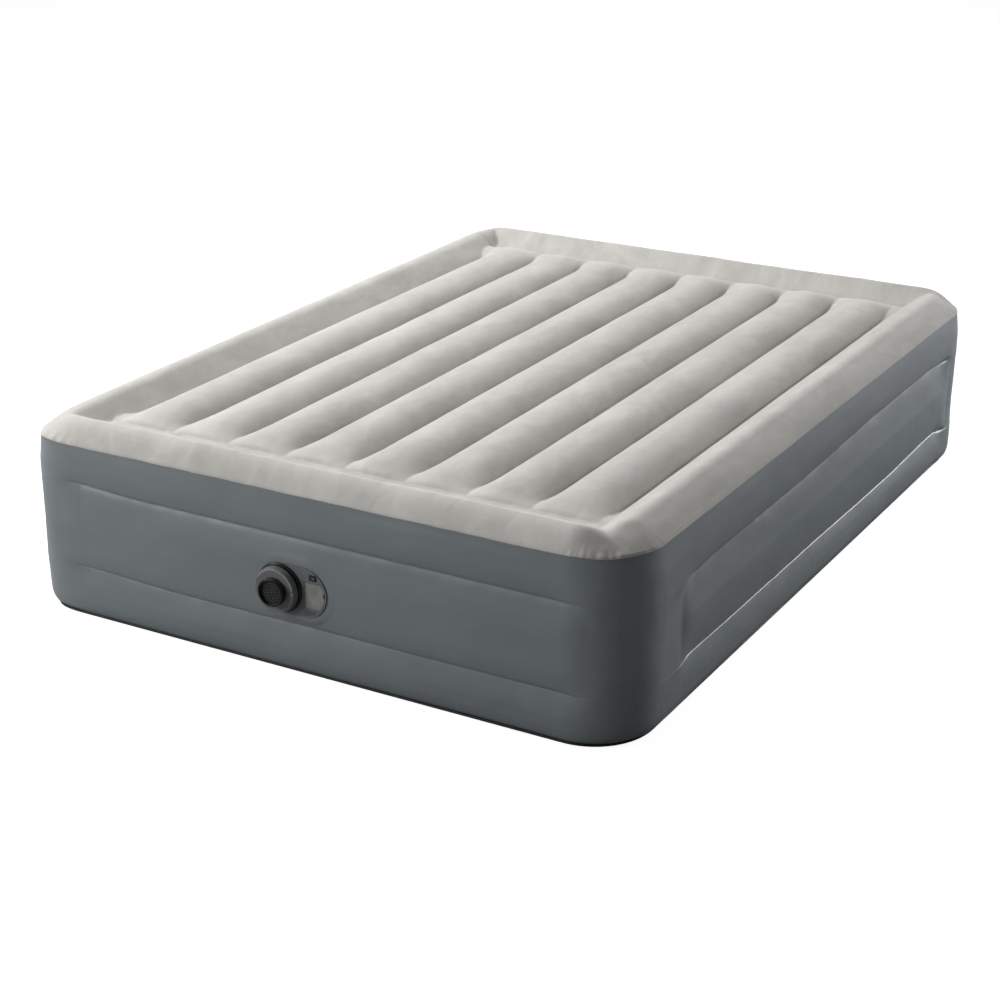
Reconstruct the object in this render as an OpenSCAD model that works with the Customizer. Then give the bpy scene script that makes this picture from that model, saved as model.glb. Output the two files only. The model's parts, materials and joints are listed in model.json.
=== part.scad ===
// Inflatable air mattress with a built-in electric pump.
// Origin: the centre of the footprint, on the floor. +Z is up, and -Y is the end that holds the pump.
// The pump is drawn in its own frame: u to the right, v up and w out of the wall, from the dial's axis.

/* [Mattress] */
// Overall width
mattress_w = 1520; // [1200:10:1840]
// Overall length
mattress_l = 2030; // [1680:10:2440]
// Height from the floor to the crest of the border
mattress_h = 460; // [410:5:560]
// Drop from the crest of the border to the seam
crown_h = 44; // [30:1:52]
// Thickness of the welded sheets
sheet_t = 0.45; // [0.35:0.05:0.7]
// Width of the raised border, which is also the radius of the corners
border_w = 156; // [120:1:190]
// Number of air beams across the bed
beam_count = 8; // [5:1:8]
// Rise of a beam's crest above the gutter
beam_rise = 24; // [12:1:30]
// Drop of a groove below the gutter
groove_drop = 8; // [4:1:14]
// Drop of the gutter below the crest of the border
gutter_drop = 36; // [28:1:42]
// Distance from the border in which a beam is full height
beam_end = 160; // [120:5:260]

/* [Side wall] */
// How far the seam lies inside the widest outline
seam_inset = 8; // [2:1:12]
// How far the foot lies inside the widest outline
foot_inset = 26; // [18:1:40]
// Width of the lap where the wall is welded to the bottom sheet
foot_lap = 22; // [12:1:30]
// Depth of the two creases
crease_depth = 12; // [6:1:18]
// Height of the lower crease
lower_crease_z = 121; // [110:1:123]
// Height of the upper crease on the pump end, at the left
upper_crease_left = 318; // [300:1:330]
// Height of the upper crease on the pump end, at the right
upper_crease_right = 310; // [278:1:330]
// Height of the upper crease on the other sides
upper_crease_side = 342; // [300:1:350]
// Distance from a corner in which a crease fades out
crease_fade = 110; // [60:5:160]

/* [Inner sheets] */
// Thickness of a fibre panel's web
web_t = 0.8; // [0.6:0.1:1.2]
// Width of the tape that welds a fibre panel to the bottom sheet
tape_w = 24; // [12:1:40]
// Distance from the border to a fibre panel's end
panel_end = 40; // [30:1:60]

/* [Pump shell] */
// Width of the panel let into the side wall, which the pump is welded to
panel_w = 300; // [260:5:400]
// Place of the dial's axis, from the middle of the bed
pump_x = -60; // [-200:5:140]
// Height of the dial's axis
pump_z = 200; // [196:1:204]
// Radius of the face's round ends
face_r = 56; // [54:0.5:58]
// Distance between the centres of the face's round ends
face_span = 60; // [58:1:72]
// Thickness of the faceplate
face_t = 3; // [2.4:0.1:4]
// Depth of the tub behind the wall
tub_depth = 138; // [136:1:180]
// Thickness of the tub's wall
tub_wall = 2.4; // [2:0.1:3]
// Width of the flange that is welded to the side wall
flange_w = 4; // [3:0.5:5]
// Thickness of that flange
flange_t = 2; // [1.5:0.1:3]

/* [Dial and valve] */
// How far the fixed ring under the dial stands out of the wall
bezel_out = 9; // [6:0.5:11]
// How far the front of the dial's grip stands out of the wall
grip_out = 26; // [22:1:32]
// Radius of the grip at its front
grip_r = 48.5; // [44:0.5:50]
// How far the dial's collar stands out of the wall
collar_out = 42; // [38:1:50]
// Outer radius of the collar
collar_r = 31; // [29.5:0.5:33]
// Radius of the intake grille
grille_r = 27; // [24:0.5:28]
// Number of rings of holes in the intake grille
grille_rings = 4; // [3:1:4]
// Length of the valve barrel behind the wall
barrel_l = 54; // [46:1:60]
// Thickness of the barrel's wall
barrel_wall = 3; // [2.6:0.1:3.4]
// Angle of one valve window
window_angle = 50; // [30:1:54]

/* [Blower] */
// Radius of the impeller
impeller_r = 36; // [30:1:40]
// Number of impeller blades
blade_count = 9; // [6:1:12]
// Inner height of the volute
volute_h = 25; // [22:1:30]
// Radius of the motor can
motor_r = 19; // [16:0.5:22]
// Length of the motor can
motor_l = 38; // [32:1:38]
// Radius of the motor shaft
shaft_r = 1.6; // [1.2:0.1:2.5]

/* [Cord bay and switch] */
// Depth of the cord bay
bay_depth = 48; // [36:1:50]
// Height of the bay's opening above the dial's axis
bay_top = 24; // [16:1:25]
// Drop of the bay's opening below the dial's axis
bay_drop = 32; // [26:1:36]
// Thickness of the bay's lid
lid_t = 2; // [1.6:0.1:2.4]
// Radius of the lid's hinge pin
pin_r = 1; // [0.8:0.1:1.2]
// Width of the switch bezel
switch_w = 17; // [14:0.5:17.5]
// Height of the switch bezel
switch_h = 13; // [11:0.5:13.5]

/* [Clearances] */
// Running clearance of the barrel in its sleeve
run_gap = 0.2; // [0.1:0.05:0.4]
// Clearance of a part that drops into its seat
seat_gap = 0.3; // [0.1:0.05:0.5]
// Running clearance of a pin or shaft in its hole
pin_gap = 0.05; // [0.02:0.01:0.1]
// Gap under the turning dial and behind the barrel
face_gap = 0.6; // [0.3:0.1:1]

/* [Hidden] */
$fn = 64;
overlap = 0.5;          // how far one volume reaches into another where they are one piece
half_w = mattress_w / 2;
half_l = mattress_l / 2;
core_x = half_w - border_w;
core_y = half_l - border_w;
seam_z = mattress_h - crown_h;
gutter_z = mattress_h - gutter_drop;
groove_z = gutter_z - groove_drop;
beam_pitch = 2 * core_x / beam_count;

// Rings of the border, from the gutter out to the seam: inset and height.
border_rings = [
    [border_w, gutter_z],
    [border_w - 44, mattress_h - 11],
    [66, mattress_h],
    [20, mattress_h - 14],
    [seam_inset, seam_z]
];
// How the inner face of each ring is offset: towards the middle and down, in sheet thicknesses.
ring_offsets = [[0, 1], [0, 1], [0, 1], [0.7, 0.7], [1, 0]];
ring_count = len(border_rings) - 1;
corner_steps = 2 * ring_count;

// Shape of a beam across a pitch, from groove to groove, as a share of its rise from the groove.
beam_shape = [0, 0.8, 1, 0.8];
beam_steps = len(beam_shape);
columns = beam_count * beam_steps;
// Rows along the bed and how much of the beam's height each has.
row_y = [-core_y, -core_y + panel_end, -core_y + beam_end, core_y - beam_end, core_y - panel_end, core_y];
row_share = [0, 0.7, 1, 1, 0.7, 0];
rows = len(row_y) - 1;

// Levels of the side wall that don't depend on the crease.
flat_low = pump_z - face_r - flange_w - 2;
flat_high = pump_z + face_r + flange_w + 1;
crease_reach = 10;
foot_curve = [9, 10];
belly_z = 40;

tub_r = face_r;
tub_in_r = tub_r - tub_wall;
hole_r = tub_r + seat_gap;

sleeve_wall = 2.5;
sleeve_in_r = tub_in_r - 12.4;
sleeve_out_r = sleeve_in_r + sleeve_wall;
barrel_r = sleeve_in_r - run_gap;
barrel_in_r = barrel_r - barrel_wall;
barrel_front = face_t + face_gap;
barrel_floor_t = 2.4;
o_ring_r = 0.8;
o_ring_seat = 1.6;
o_ring_w = [-8, -barrel_l + 14];

bezel_r = face_r;
dial_wall = 2.5;
grip_w = bezel_out + 5;
grip_back_r = grip_r + 3.5;
skirt_r = grip_back_r - 1;
mark_t = 0.3;
dial_tube_r = grille_r + 7.5;
dial_screw_u = dial_tube_r - 4.2;
dial_screw_angles = [30, 150, 270];
dial_screw_l = 9;
grille_t = 2;
grille_drop = 7;
grille_seat_w = collar_out - grille_drop - grille_t;
grip_count = 60;        // grooves round the grip

cover_w = -barrel_l - face_gap;
cover_t = 2.4;
plate_r = tub_in_r - seat_gap;
volute_w = cover_w - cover_t;
volute_back_w = volute_w - volute_h;
volute_wall = 2.4;
volute_in_r = impeller_r + 8;
volute_out_r = volute_in_r + volute_wall;
motor_w = volute_back_w - cover_t;
motor_end_w = motor_w - motor_l;
post_r = 3;
post_ring_r = plate_r - post_r - 0.4;
post_angles = [45, 135, 225, 315];
screw_r = 1.5;
screw_head_r = 2.6;
screw_head_h = 1.8;

window_in_r = 14;
window_out_r = barrel_in_r - 3;
window_turn = 60;       // how far the dial turns from closed to inflate or deflate
port_h = 16;
port_w_angle = 40;

lid_left = face_span + 2.5;
lid_r = face_r - 3;
lid_ledge = 2.5;
lid_pin_u = face_span;
lid_pin_v = [-bay_drop, bay_top];
lid_pin_w = face_t - 0.6;
knuckle_r = pin_r + 1.2;
ear_l = 3;
bay_wall = 1.8;
gland_r = 5;
gland_bore_r = 3.2;
gland_at = [face_span + 24, -8];

switch_at = [face_span + 24, 38];
switch_depth = 16;
switch_wall = 1.4;
rocker_off_tilt = 9;
rocker_side_gap = 1;

outlet_r = 24;
outlet_grille_t = 2;

// ---------- Shared functions ----------

function mix(a, b, share) = a + (b - a) * share;

// Faces of a tube of surface whose rings all have the same number of points.
function ring_faces(n, first, second, flip = false) =
    [for (i = [0:n - 1]) let (j = (i + 1) % n)
        each flip
            ? [[first + i, second + j, second + i], [first + i, first + j, second + j]]
            : [[first + i, second + i, second + j], [first + i, second + j, first + j]]];

// Stations round the bed: core point, outward normal, share of the crease and height of the upper crease.
// The wall at an inset lies border_w - inset out from the core point, along the normal.
crease_ends = [
    [upper_crease_left, upper_crease_right],
    [upper_crease_side, upper_crease_side],
    [upper_crease_side, upper_crease_side],
    [upper_crease_side, upper_crease_side]
];
function side_dir(k) = [cos(90 * k), sin(90 * k)];
function side_out(k) = [sin(90 * k), -cos(90 * k)];
function side_half(k) = k % 2 == 0 ? core_x : core_y;
function side_dist(k) = k % 2 == 0 ? core_y : core_x;
function side_point(k, s) = side_out(k) * side_dist(k) + side_dir(k) * s;
function crease_z(k, s) = mix(crease_ends[k][0], crease_ends[k][1], (s / side_half(k) + 1) / 2);
stations = [for (k = [0:3]) let (h = side_half(k), next = crease_ends[(k + 1) % 4][0])
    each concat(
        [for (stop = [[-h, 0], [-h + crease_fade, 1], [h - crease_fade, 1], [h, 0]])
            [side_point(k, stop[0]), side_out(k), stop[1], crease_z(k, stop[0])]],
        [for (j = [1:corner_steps - 1]) let (a = 90 * k - 90 + 90 * j / corner_steps)
            [side_point(k, h), [cos(a), sin(a)], 0, mix(crease_ends[k][1], next, j / corner_steps)]]
    )];
function at_inset(station, inset) = station[0] + station[1] * (border_w - inset);
function outline(inset) = [for (s = stations) at_inset(s, inset)];

// Outer face of the wall at one station, from the lap under the foot up to the seam: inset and height.
function wall_levels(crease, upper_z) = let (deep = crease_depth * crease, near = deep / 4) [
    [foot_inset + foot_lap, sheet_t],
    [foot_inset, sheet_t],
    [foot_curve[0], sheet_t + foot_curve[1]],
    [0, belly_z],
    [near, lower_crease_z - 2 * crease_reach],
    [deep, lower_crease_z],
    [near, lower_crease_z + crease_reach],
    [0, flat_low],
    [0, flat_high],
    [near, upper_z - crease_reach],
    [deep, upper_z],
    [near, upper_z + crease_reach],
    [0, mix(upper_z + crease_reach, seam_z, 0.45)],
    [seam_inset, seam_z]
];
function unit(v) = v / norm(v);
// The sheet's inner face: each level moved in by the thickness, square to the profile.
function inner_levels(levels) = let (last = len(levels) - 1) [for (i = [0:last])
    i == 0 ? levels[0] + [0, sheet_t]
    : i == 1 ? levels[1] + [sheet_t / 2, sheet_t]
    : i == last ? levels[last] + [sheet_t, 0]
    : let (d = unit(levels[i + 1] - levels[i - 1])) levels[i] + [d[1], -d[0]] * sheet_t];

// Points of the top sheet, on a grid that runs over the border and the beams.
function core_z(i, j) =
    let (share = beam_shape[i % beam_steps])
    gutter_z + row_share[j] * (share * (beam_rise + groove_drop) - groove_drop);
function clamp(x, low, high) = max(low, min(high, x));
function beyond(i, last) = max(-i, i - last, 0);
function side_sign(i) = i < 0 ? -1 : 1;
function corner_angle(di, dj) = di >= dj ? 45 * dj / di : 90 - 45 * di / dj;
function top_point(i, j, inner) =
    let (
        ci = clamp(i, 0, columns), cj = clamp(j, 0, rows),
        di = beyond(i, columns), dj = beyond(j, rows), k = max(di, dj),
        a = k == 0 ? 0 : corner_angle(di, dj),
        off = ring_offsets[k] * (inner ? sheet_t : 0),
        reach = k == 0 ? 0 : border_w - border_rings[k][0] - off[0],
        z = (k == 0 ? core_z(ci, cj) : border_rings[k][1]) - off[1]
    )
    [-core_x + ci * 2 * core_x / columns + side_sign(i) * reach * (di == 0 ? 0 : cos(a)),
     row_y[cj] + side_sign(j) * reach * (dj == 0 ? 0 : sin(a)), z];

// ---------- Mattress ----------

module top_sheet() {
    nx = columns + 2 * ring_count + 1;
    ny = rows + 2 * ring_count + 1;
    points = [for (inner = [false, true]) for (j = [0:ny - 1]) for (i = [0:nx - 1])
        top_point(i - ring_count, j - ring_count, inner)];
    outer_faces = [for (j = [0:ny - 2]) for (i = [0:nx - 2]) let (a = j * nx + i)
        each [[a, a + nx, a + nx + 1], [a, a + nx + 1, a + 1]]];
    inner_faces = [for (f = outer_faces) [for (p = [2:-1:0]) f[p] + nx * ny]];
    rim = concat(
        [for (i = [0:nx - 2]) i],
        [for (j = [0:ny - 2]) j * nx + nx - 1],
        [for (i = [nx - 1:-1:1]) (ny - 1) * nx + i],
        [for (j = [ny - 1:-1:1]) j * nx]
    );
    n = len(rim);
    rim_faces = [for (i = [0:n - 1]) let (a = rim[i], b = rim[(i + 1) % n], c = nx * ny)
        each [[a, b, b + c], [a, b + c, a + c]]];
    color("gainsboro")
        polyhedron(points, concat(rim_faces, inner_faces, outer_faces));
}

module wall_sheet() {
    n = len(stations);
    profiles = [for (s = stations) wall_levels(s[2], s[3])];
    inner = [for (p = profiles) inner_levels(p)];
    m = len(profiles[0]);
    points = [for (profile = [profiles, inner]) for (k = [0:m - 1]) for (i = [0:n - 1])
        let (p = at_inset(stations[i], profile[i][k][0])) [p[0], p[1], profile[i][k][1]]];
    polyhedron(points, concat(
        [for (k = [0:m - 2]) each ring_faces(n, k * n, (k + 1) * n)],
        [for (k = [0:m - 2]) each ring_faces(n, (m + k) * n, (m + k + 1) * n, true)],
        ring_faces(n, m * n, 0),
        ring_faces(n, (m - 1) * n, (2 * m - 1) * n)
    ));
}

// The space of the panel round the pump, from the floor to the seam and behind the foot's lap.
module panel_space() {
    past = 1;           // how far the space reaches past the wall
    translate([pump_x + face_span / 2 - panel_w / 2, -half_l - past, -past])
        cube([panel_w, foot_inset + foot_lap + 2 * past, seam_z + 2 * past]);
}

module side_wall() color("slategray") difference() {
    wall_sheet();
    panel_space();
}

module pump_panel() color("slategray") difference() {
    intersection() {
        wall_sheet();
        panel_space();
    }
    at_pump() translate([0, 0, -sheet_t - 1]) linear_extrude(sheet_t + 2) stadium(hole_r);
}

module bottom_sheet() color("dimgray") linear_extrude(sheet_t) polygon(outline(foot_inset - 2));

// A web of fibres from the bottom sheet to a groove, with its welding tape.
module fibre_panel(i) color("whitesmoke") {
    x = -core_x + i * beam_pitch;
    groove_end_z = gutter_z - row_share[1] * groove_drop - sheet_t;
    ends = core_y - panel_end;
    full = core_y - beam_end;
    translate([x - web_t / 2, 0, 0]) rotate([90, 0, 90]) linear_extrude(web_t) polygon([
        [-ends, sheet_t], [ends, sheet_t], [ends, groove_end_z],
        [full, groove_z - sheet_t], [-full, groove_z - sheet_t], [-ends, groove_end_z]
    ]);
    translate([x - tape_w / 2, -ends, sheet_t]) cube([tape_w, 2 * ends, sheet_t]);
}

// A flat band that holds a crease in. It runs from the wall to the outer fibre panels or to their ends.
module tie_band(k, upper) color("lightslategray") {
    reach = side_half(k) - crease_fade;
    out = side_dist(k) + border_w - crease_depth - sheet_t - seat_gap;
    in = k % 2 == 0 ? core_y - panel_end + seat_gap : core_x + web_t / 2 + seat_gap;
    low = upper ? crease_z(k, -reach) : lower_crease_z;
    high = upper ? crease_z(k, reach) : lower_crease_z;
    rotate([0, 0, 90 * k]) translate([0, -in, 0]) rotate([90, 0, 0])
        linear_extrude(out - in) polygon([
            [-reach, low - sheet_t / 2], [reach, high - sheet_t / 2],
            [reach, high + sheet_t / 2], [-reach, low + sheet_t / 2]
        ]);
}

// ---------- Pump shell ----------

// Places the pump's own frame on the wall: u, v and w become X, Z and -Y.
module at_pump() translate([pump_x, -half_l, pump_z]) rotate([90, 0, 0]) children();

// A flat shape with two round ends, round the dial's axis and round the bay's centre.
module stadium(r) {
    circle(r);
    translate([face_span, 0]) circle(r);
    translate([0, -r]) square([face_span, 2 * r]);
}

module post_places() for (a = post_angles) rotate([0, 0, a]) translate([post_ring_r, 0, 0]) rotate([0, 0, -a]) children();

module pump_tub() color("darkslategray") at_pump() {
    difference() {
        union() {
            translate([0, 0, -tub_depth]) linear_extrude(tub_depth) stadium(tub_r);
            translate([0, 0, -sheet_t - flange_t]) linear_extrude(flange_t) stadium(tub_r + flange_w);
        }
        translate([0, 0, -tub_depth + tub_wall]) linear_extrude(tub_depth) stadium(tub_in_r);
        translate([face_span, 0, -tub_depth - 1]) cylinder(r = outlet_r, h = tub_wall + 2);
    }
    // Posts for the blower and the ring that carries the motor's rear end.
    post_places() difference() {
        translate([0, 0, -tub_depth + tub_wall - overlap])
            cylinder(r = post_r, h = tub_depth - tub_wall + overlap + motor_w);
        translate([0, 0, motor_w - 14]) cylinder(r = screw_r + pin_gap, h = 15);
    }
    difference() {
        translate([0, 0, -tub_depth + tub_wall - overlap]) cylinder(r = 14, h = 8 + overlap);
        translate([0, 0, -tub_depth + tub_wall]) cylinder(r = 11, h = 9);
    }
}

module outlet_grille() color("black") at_pump() translate([face_span, 0, -tub_depth - outlet_grille_t])
    difference() {
        cylinder(r = outlet_r + 4, h = outlet_grille_t);
        for (x = [-20:8:20])
            translate([x - 2, -sqrt(pow(outlet_r - 1, 2) - pow(abs(x) + 2, 2)), -1])
                cube([4, 2 * sqrt(pow(outlet_r - 1, 2) - pow(abs(x) + 2, 2)), outlet_grille_t + 2]);
    }

// The outline of the lid. The bay's opening is the same shape, inset by the ledge.
module lid_shape(inset = 0) intersection() {
    translate([face_span, 0]) circle(lid_r - inset);
    translate([lid_left + inset, -bay_drop - lid_ledge + inset])
        square([2 * lid_r, bay_top + bay_drop + 2 * lid_ledge - 2 * inset]);
}

// Places a cylinder along the lid's hinge, from one v to another.
module hinge_rod(r, from, to) translate([lid_pin_u, from, lid_pin_w]) rotate([-90, 0, 0]) cylinder(r = r, h = to - from);

module faceplate() color("dimgray") at_pump() difference() {
    union() {
        linear_extrude(face_t) stadium(face_r);
        // The collar behind the face that centres the valve sleeve.
        translate([0, 0, -3]) difference() {
            cylinder(r = sleeve_out_r + seat_gap + 2, h = 3 + overlap);
            translate([0, 0, -1]) cylinder(r = sleeve_out_r + seat_gap, h = 4);
        }
        // The two ears that hold the lid's pin.
        hinge_rod(knuckle_r, lid_pin_v[0] - seat_gap - ear_l, lid_pin_v[0] - seat_gap);
        hinge_rod(knuckle_r, lid_pin_v[1] + seat_gap, lid_pin_v[1] + seat_gap + ear_l);
    }
    translate([0, 0, -1]) cylinder(r = barrel_r + seat_gap, h = face_t + 2);
    translate([0, 0, -1]) linear_extrude(face_t + 2) lid_shape(lid_ledge);
    translate([0, 0, face_t - lid_t - seat_gap]) linear_extrude(lid_t + 1) lid_shape(-seat_gap);
    // Room for the lid's knuckle and the pin.
    translate([lid_pin_u - knuckle_r - seat_gap, lid_pin_v[0] - seat_gap, -1])
        cube([2 * knuckle_r + 2 * seat_gap, lid_pin_v[1] - lid_pin_v[0] + 2 * seat_gap, face_t + knuckle_r + 2]);
    hinge_rod(pin_r + pin_gap, lid_pin_v[0] - ear_l - 1, lid_pin_v[1] + ear_l + 1);
    // The switch's opening.
    translate([switch_at[0], switch_at[1], face_t / 2])
        cube([switch_body_w + 2 * seat_gap, switch_body_h + 2 * seat_gap, face_t + 2], center = true);
    // Grip grooves under the lid.
    translate([0, 0, face_t - 1]) linear_extrude(2) intersection() {
        translate([face_span, 0]) circle(face_r - 3);
        for (u = [0:3:27]) translate([face_span + u, -face_r]) square([1.2, face_r - bay_drop - lid_ledge - 5]);
    }
}

module cord_bay() color("dimgray") at_pump() difference() {
    union() {
        translate([0, 0, -bay_depth - bay_wall]) linear_extrude(bay_depth + bay_wall) lid_shape(lid_ledge - bay_wall);
    }
    translate([0, 0, -bay_depth]) linear_extrude(bay_depth + 1) lid_shape(lid_ledge);
    translate([gland_at[0], gland_at[1], -bay_depth - bay_wall - 1]) cylinder(r = gland_r + seat_gap, h = bay_wall + 2);
}

// The rubber bush through which the mains cord would leave the pump's electrics.
module cord_gland() color("black") at_pump() translate([gland_at[0], gland_at[1], 0]) difference() {
    union() {
        translate([0, 0, -bay_depth - bay_wall - 2]) cylinder(r = gland_r, h = bay_wall + 4);
        translate([0, 0, -bay_depth]) cylinder(r = gland_r + 2, h = 3);
        translate([0, 0, -bay_depth - bay_wall - 3]) cylinder(r = gland_r + 2, h = 3);
    }
    translate([0, 0, -bay_depth - bay_wall - 4]) cylinder(r = gland_bore_r, h = bay_wall + 12);
}

module bay_lid() color("gray") at_pump() difference() {
    union() {
        translate([0, 0, face_t - lid_t]) linear_extrude(lid_t) lid_shape();
        hinge_rod(knuckle_r, lid_pin_v[0], lid_pin_v[1]);
        translate([lid_pin_u, lid_pin_v[0], face_t - lid_t + 0.4])
            cube([lid_left - lid_pin_u + overlap, lid_pin_v[1] - lid_pin_v[0], lid_t - 0.4]);
    }
    hinge_rod(pin_r + pin_gap, lid_pin_v[0] - 1, lid_pin_v[1] + 1);
    // Thumb notch at the free end.
    translate([face_span + lid_r + 3, 2, face_t - lid_t - 1]) cylinder(r = 7, h = lid_t + 2);
}

module lid_pin() color("silver") at_pump()
    hinge_rod(pin_r, lid_pin_v[0] - ear_l, lid_pin_v[1] + ear_l);

// A blank plate on the lid.
module lid_plate() color("darkgray") at_pump() translate([0, 0, face_t]) linear_extrude(0.4) difference() {
    lid_shape(2);
    translate([face_span + lid_r + 3, 2]) circle(9);
}

// ---------- Switch ----------

switch_body_w = switch_w - 2 * switch_wall;
switch_body_h = switch_h - 2 * switch_wall;
switch_in_w = switch_w - 4 * switch_wall;
switch_in_h = switch_h - 4 * switch_wall;
terminal_u = 4;
terminal_l = 6;
module at_switch() at_pump() translate([switch_at[0], switch_at[1], 0]) children();

module switch_body() color("black") at_switch() difference() {
    union() {
        translate([-switch_w / 2, -switch_h / 2, face_t]) cube([switch_w, switch_h, 1.4]);
        translate([-switch_body_w / 2, -switch_body_h / 2, -switch_depth])
            cube([switch_body_w, switch_body_h, switch_depth + face_t + overlap]);
        for (u = [-terminal_u, terminal_u]) translate([u - 0.4, -1.5, -switch_depth - terminal_l])
            cube([0.8, 3, terminal_l + overlap]);
    }
    translate([-switch_in_w / 2, -switch_in_h / 2, -6]) cube([switch_in_w, switch_in_h, 20]);
    rotate([90, 0, 0]) cylinder(r = 1 + pin_gap, h = switch_body_h - 0.8, center = true);
}

module switch_axle() color("silver") at_switch() rotate([90, 0, 0])
    cylinder(r = 1, h = switch_body_h - 1.2, center = true);

module switch_rocker() color("gray") at_switch() rotate([0, rocker_off_tilt, 0]) difference() {
    intersection() {
        translate([-switch_in_w / 2 + rocker_side_gap, -switch_in_h / 2 + seat_gap, -2.4])
            cube([switch_in_w - 2 * rocker_side_gap, switch_in_h - 2 * seat_gap, 12]);
        difference() {
            rotate([90, 0, 0]) cylinder(r = 8.4, h = switch_h, center = true);
            translate([0, 0, 17.4]) rotate([90, 0, 0]) cylinder(r = 12.2, h = switch_h, center = true);
        }
    }
    rotate([90, 0, 0]) cylinder(r = 1 + pin_gap, h = switch_h, center = true);
}

// ---------- Dial and valve ----------

// The fixed ring round the dial's foot.
module dial_bezel() color("black") at_pump() rotate_extrude() polygon([
    [barrel_r + 3, face_t], [bezel_r, face_t], [bezel_r, face_t + 2.5], [bezel_r - 3, bezel_out], [barrel_r + 3, bezel_out]
]);

module index_mark() color("white") at_pump()
    translate([bezel_r - 11, -2.5, bezel_out]) cube([7, 1, mark_t]);

// The dial's black core: the collar, the tube that holds the barrel and the skirt under the grip.
module dial() color("black") at_pump() difference() {
    rotate_extrude() polygon([
        [grille_r - 1.5, barrel_front], [dial_tube_r, barrel_front],
        [dial_tube_r, grip_w - dial_wall], [skirt_r - dial_wall, grip_w - dial_wall],
        [skirt_r - dial_wall, bezel_out + face_gap], [skirt_r, bezel_out + face_gap],
        [skirt_r, grip_w], [collar_r, grip_w], [collar_r, collar_out - 1], [collar_r - 1, collar_out],
        [grille_r + 1.4, collar_out], [grille_r + 0.2, collar_out - 1.2],
        [grille_r + 0.2, grille_seat_w], [grille_r - 1.5, grille_seat_w]
    ]);
    for (a = dial_screw_angles) rotate([0, 0, a]) translate([dial_screw_u, 0, barrel_front - 1])
        cylinder(r = screw_r + pin_gap, h = dial_screw_l);
}

// The knurled ring that fingers turn.
module dial_grip() color("gray") at_pump() difference() {
    rotate_extrude() polygon([
        [collar_r + pin_gap, grip_out - dial_wall], [grip_r - dial_wall, grip_out - dial_wall],
        [grip_back_r - dial_wall, grip_w], [grip_back_r, grip_w], [grip_back_r, grip_w + 1],
        [grip_r + 0.6, grip_out - 1.2], [grip_r - 0.6, grip_out], [collar_r + pin_gap, grip_out]
    ]);
    for (i = [0:grip_count - 1]) rotate([0, 0, i * 360 / grip_count])
        translate([grip_back_r, 0, grip_w + 2]) rotate([0, -grip_lean, 0])
            translate([-1.2, -0.7, 0]) cube([3, 1.4, grip_out - grip_w - 5.5]);
}
grip_lean = atan((grip_back_r - grip_r - 0.6) / (grip_out - grip_w - 2.2));

// Position marks on the grip's face: two arcs, with a dot at the top and one at the right.
module dial_marks() color("white") at_pump() translate([0, 0, grip_out]) linear_extrude(mark_t) {
    for (arc = [[12, 74], [86, 152]]) intersection() {
        difference() {
            circle(grip_r - 1.4);
            circle(grip_r - 2.2);
        }
        polygon([[0, 0], for (a = [arc[0]:(arc[1] - arc[0]) / 4:arc[1] + 0.1]) 2 * grip_r * [cos(a), sin(a)]]);
    }
    for (a = [0, 80]) rotate(a) translate([grip_r - 2.4, 0]) circle(1.2);
}

function hole_count(ring) = 6 * ring;
module intake_grille() color("black") at_pump() translate([0, 0, grille_seat_w]) difference() {
    cylinder(r = grille_r, h = grille_t);
    for (ring = [1:grille_rings]) for (i = [0:hole_count(ring) - 1])
        rotate([0, 0, i * 360 / hole_count(ring)])
            translate([ring * (grille_r - 4) / grille_rings, 0, -1]) cylinder(r = 1.9, h = grille_t + 2);
}

// A pie slice of a ring, for the valve windows.
module window_slice(in_r, out_r, angle) intersection() {
    difference() {
        circle(out_r);
        circle(in_r);
    }
    polygon([[0, 0], for (a = [-angle / 2, 0, angle / 2]) 2 * out_r * [cos(a), sin(a)]]);
}

module valve_barrel() color("lightgray") at_pump() difference() {
    rotate_extrude() polygon(concat(
        [[0, -barrel_l], [barrel_r, -barrel_l]],
        [for (w = [o_ring_w[1], o_ring_w[0]]) each [
            [barrel_r, w - 1], [barrel_r - o_ring_seat, w - 1], [barrel_r - o_ring_seat, w + 1], [barrel_r, w + 1]]],
        [[barrel_r, barrel_front], [grille_r - 1.5, barrel_front], [grille_r - 1.5, barrel_front - 2.5],
         [barrel_in_r, barrel_front - 2.5], [barrel_in_r, -barrel_l + barrel_floor_t], [0, -barrel_l + barrel_floor_t]]
    ));
    for (a = [0, 180]) rotate([0, 0, a]) translate([0, 0, -barrel_l - 1])
        linear_extrude(barrel_floor_t + 2) window_slice(window_in_r, window_out_r, window_angle);
    for (a = [90, 270]) rotate([0, 0, a]) translate([0, 0, port_low_w()])
        linear_extrude(port_h) window_slice(barrel_in_r - 2, barrel_r + 2, port_w_angle);
    for (a = dial_screw_angles) rotate([0, 0, a]) translate([dial_screw_u, 0, barrel_front - 4])
        cylinder(r = screw_r + pin_gap, h = 6);
}
function port_low_w() = o_ring_w[1] + 4;

module barrel_o_rings() color("black") at_pump() for (w = o_ring_w)
    translate([0, 0, w]) rotate_extrude() translate([barrel_r - o_ring_seat + o_ring_r + 0.05, 0]) circle(o_ring_r, $fn = 24);

module dial_screws() color("silver") at_pump() for (a = dial_screw_angles)
    rotate([0, 0, a]) translate([dial_screw_u, 0, 0]) {
        translate([0, 0, barrel_front - 2.5 - screw_head_h]) cylinder(r = screw_head_r, h = screw_head_h);
        translate([0, 0, barrel_front - 2.6]) cylinder(r = screw_r, h = dial_screw_l);
    }

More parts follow.
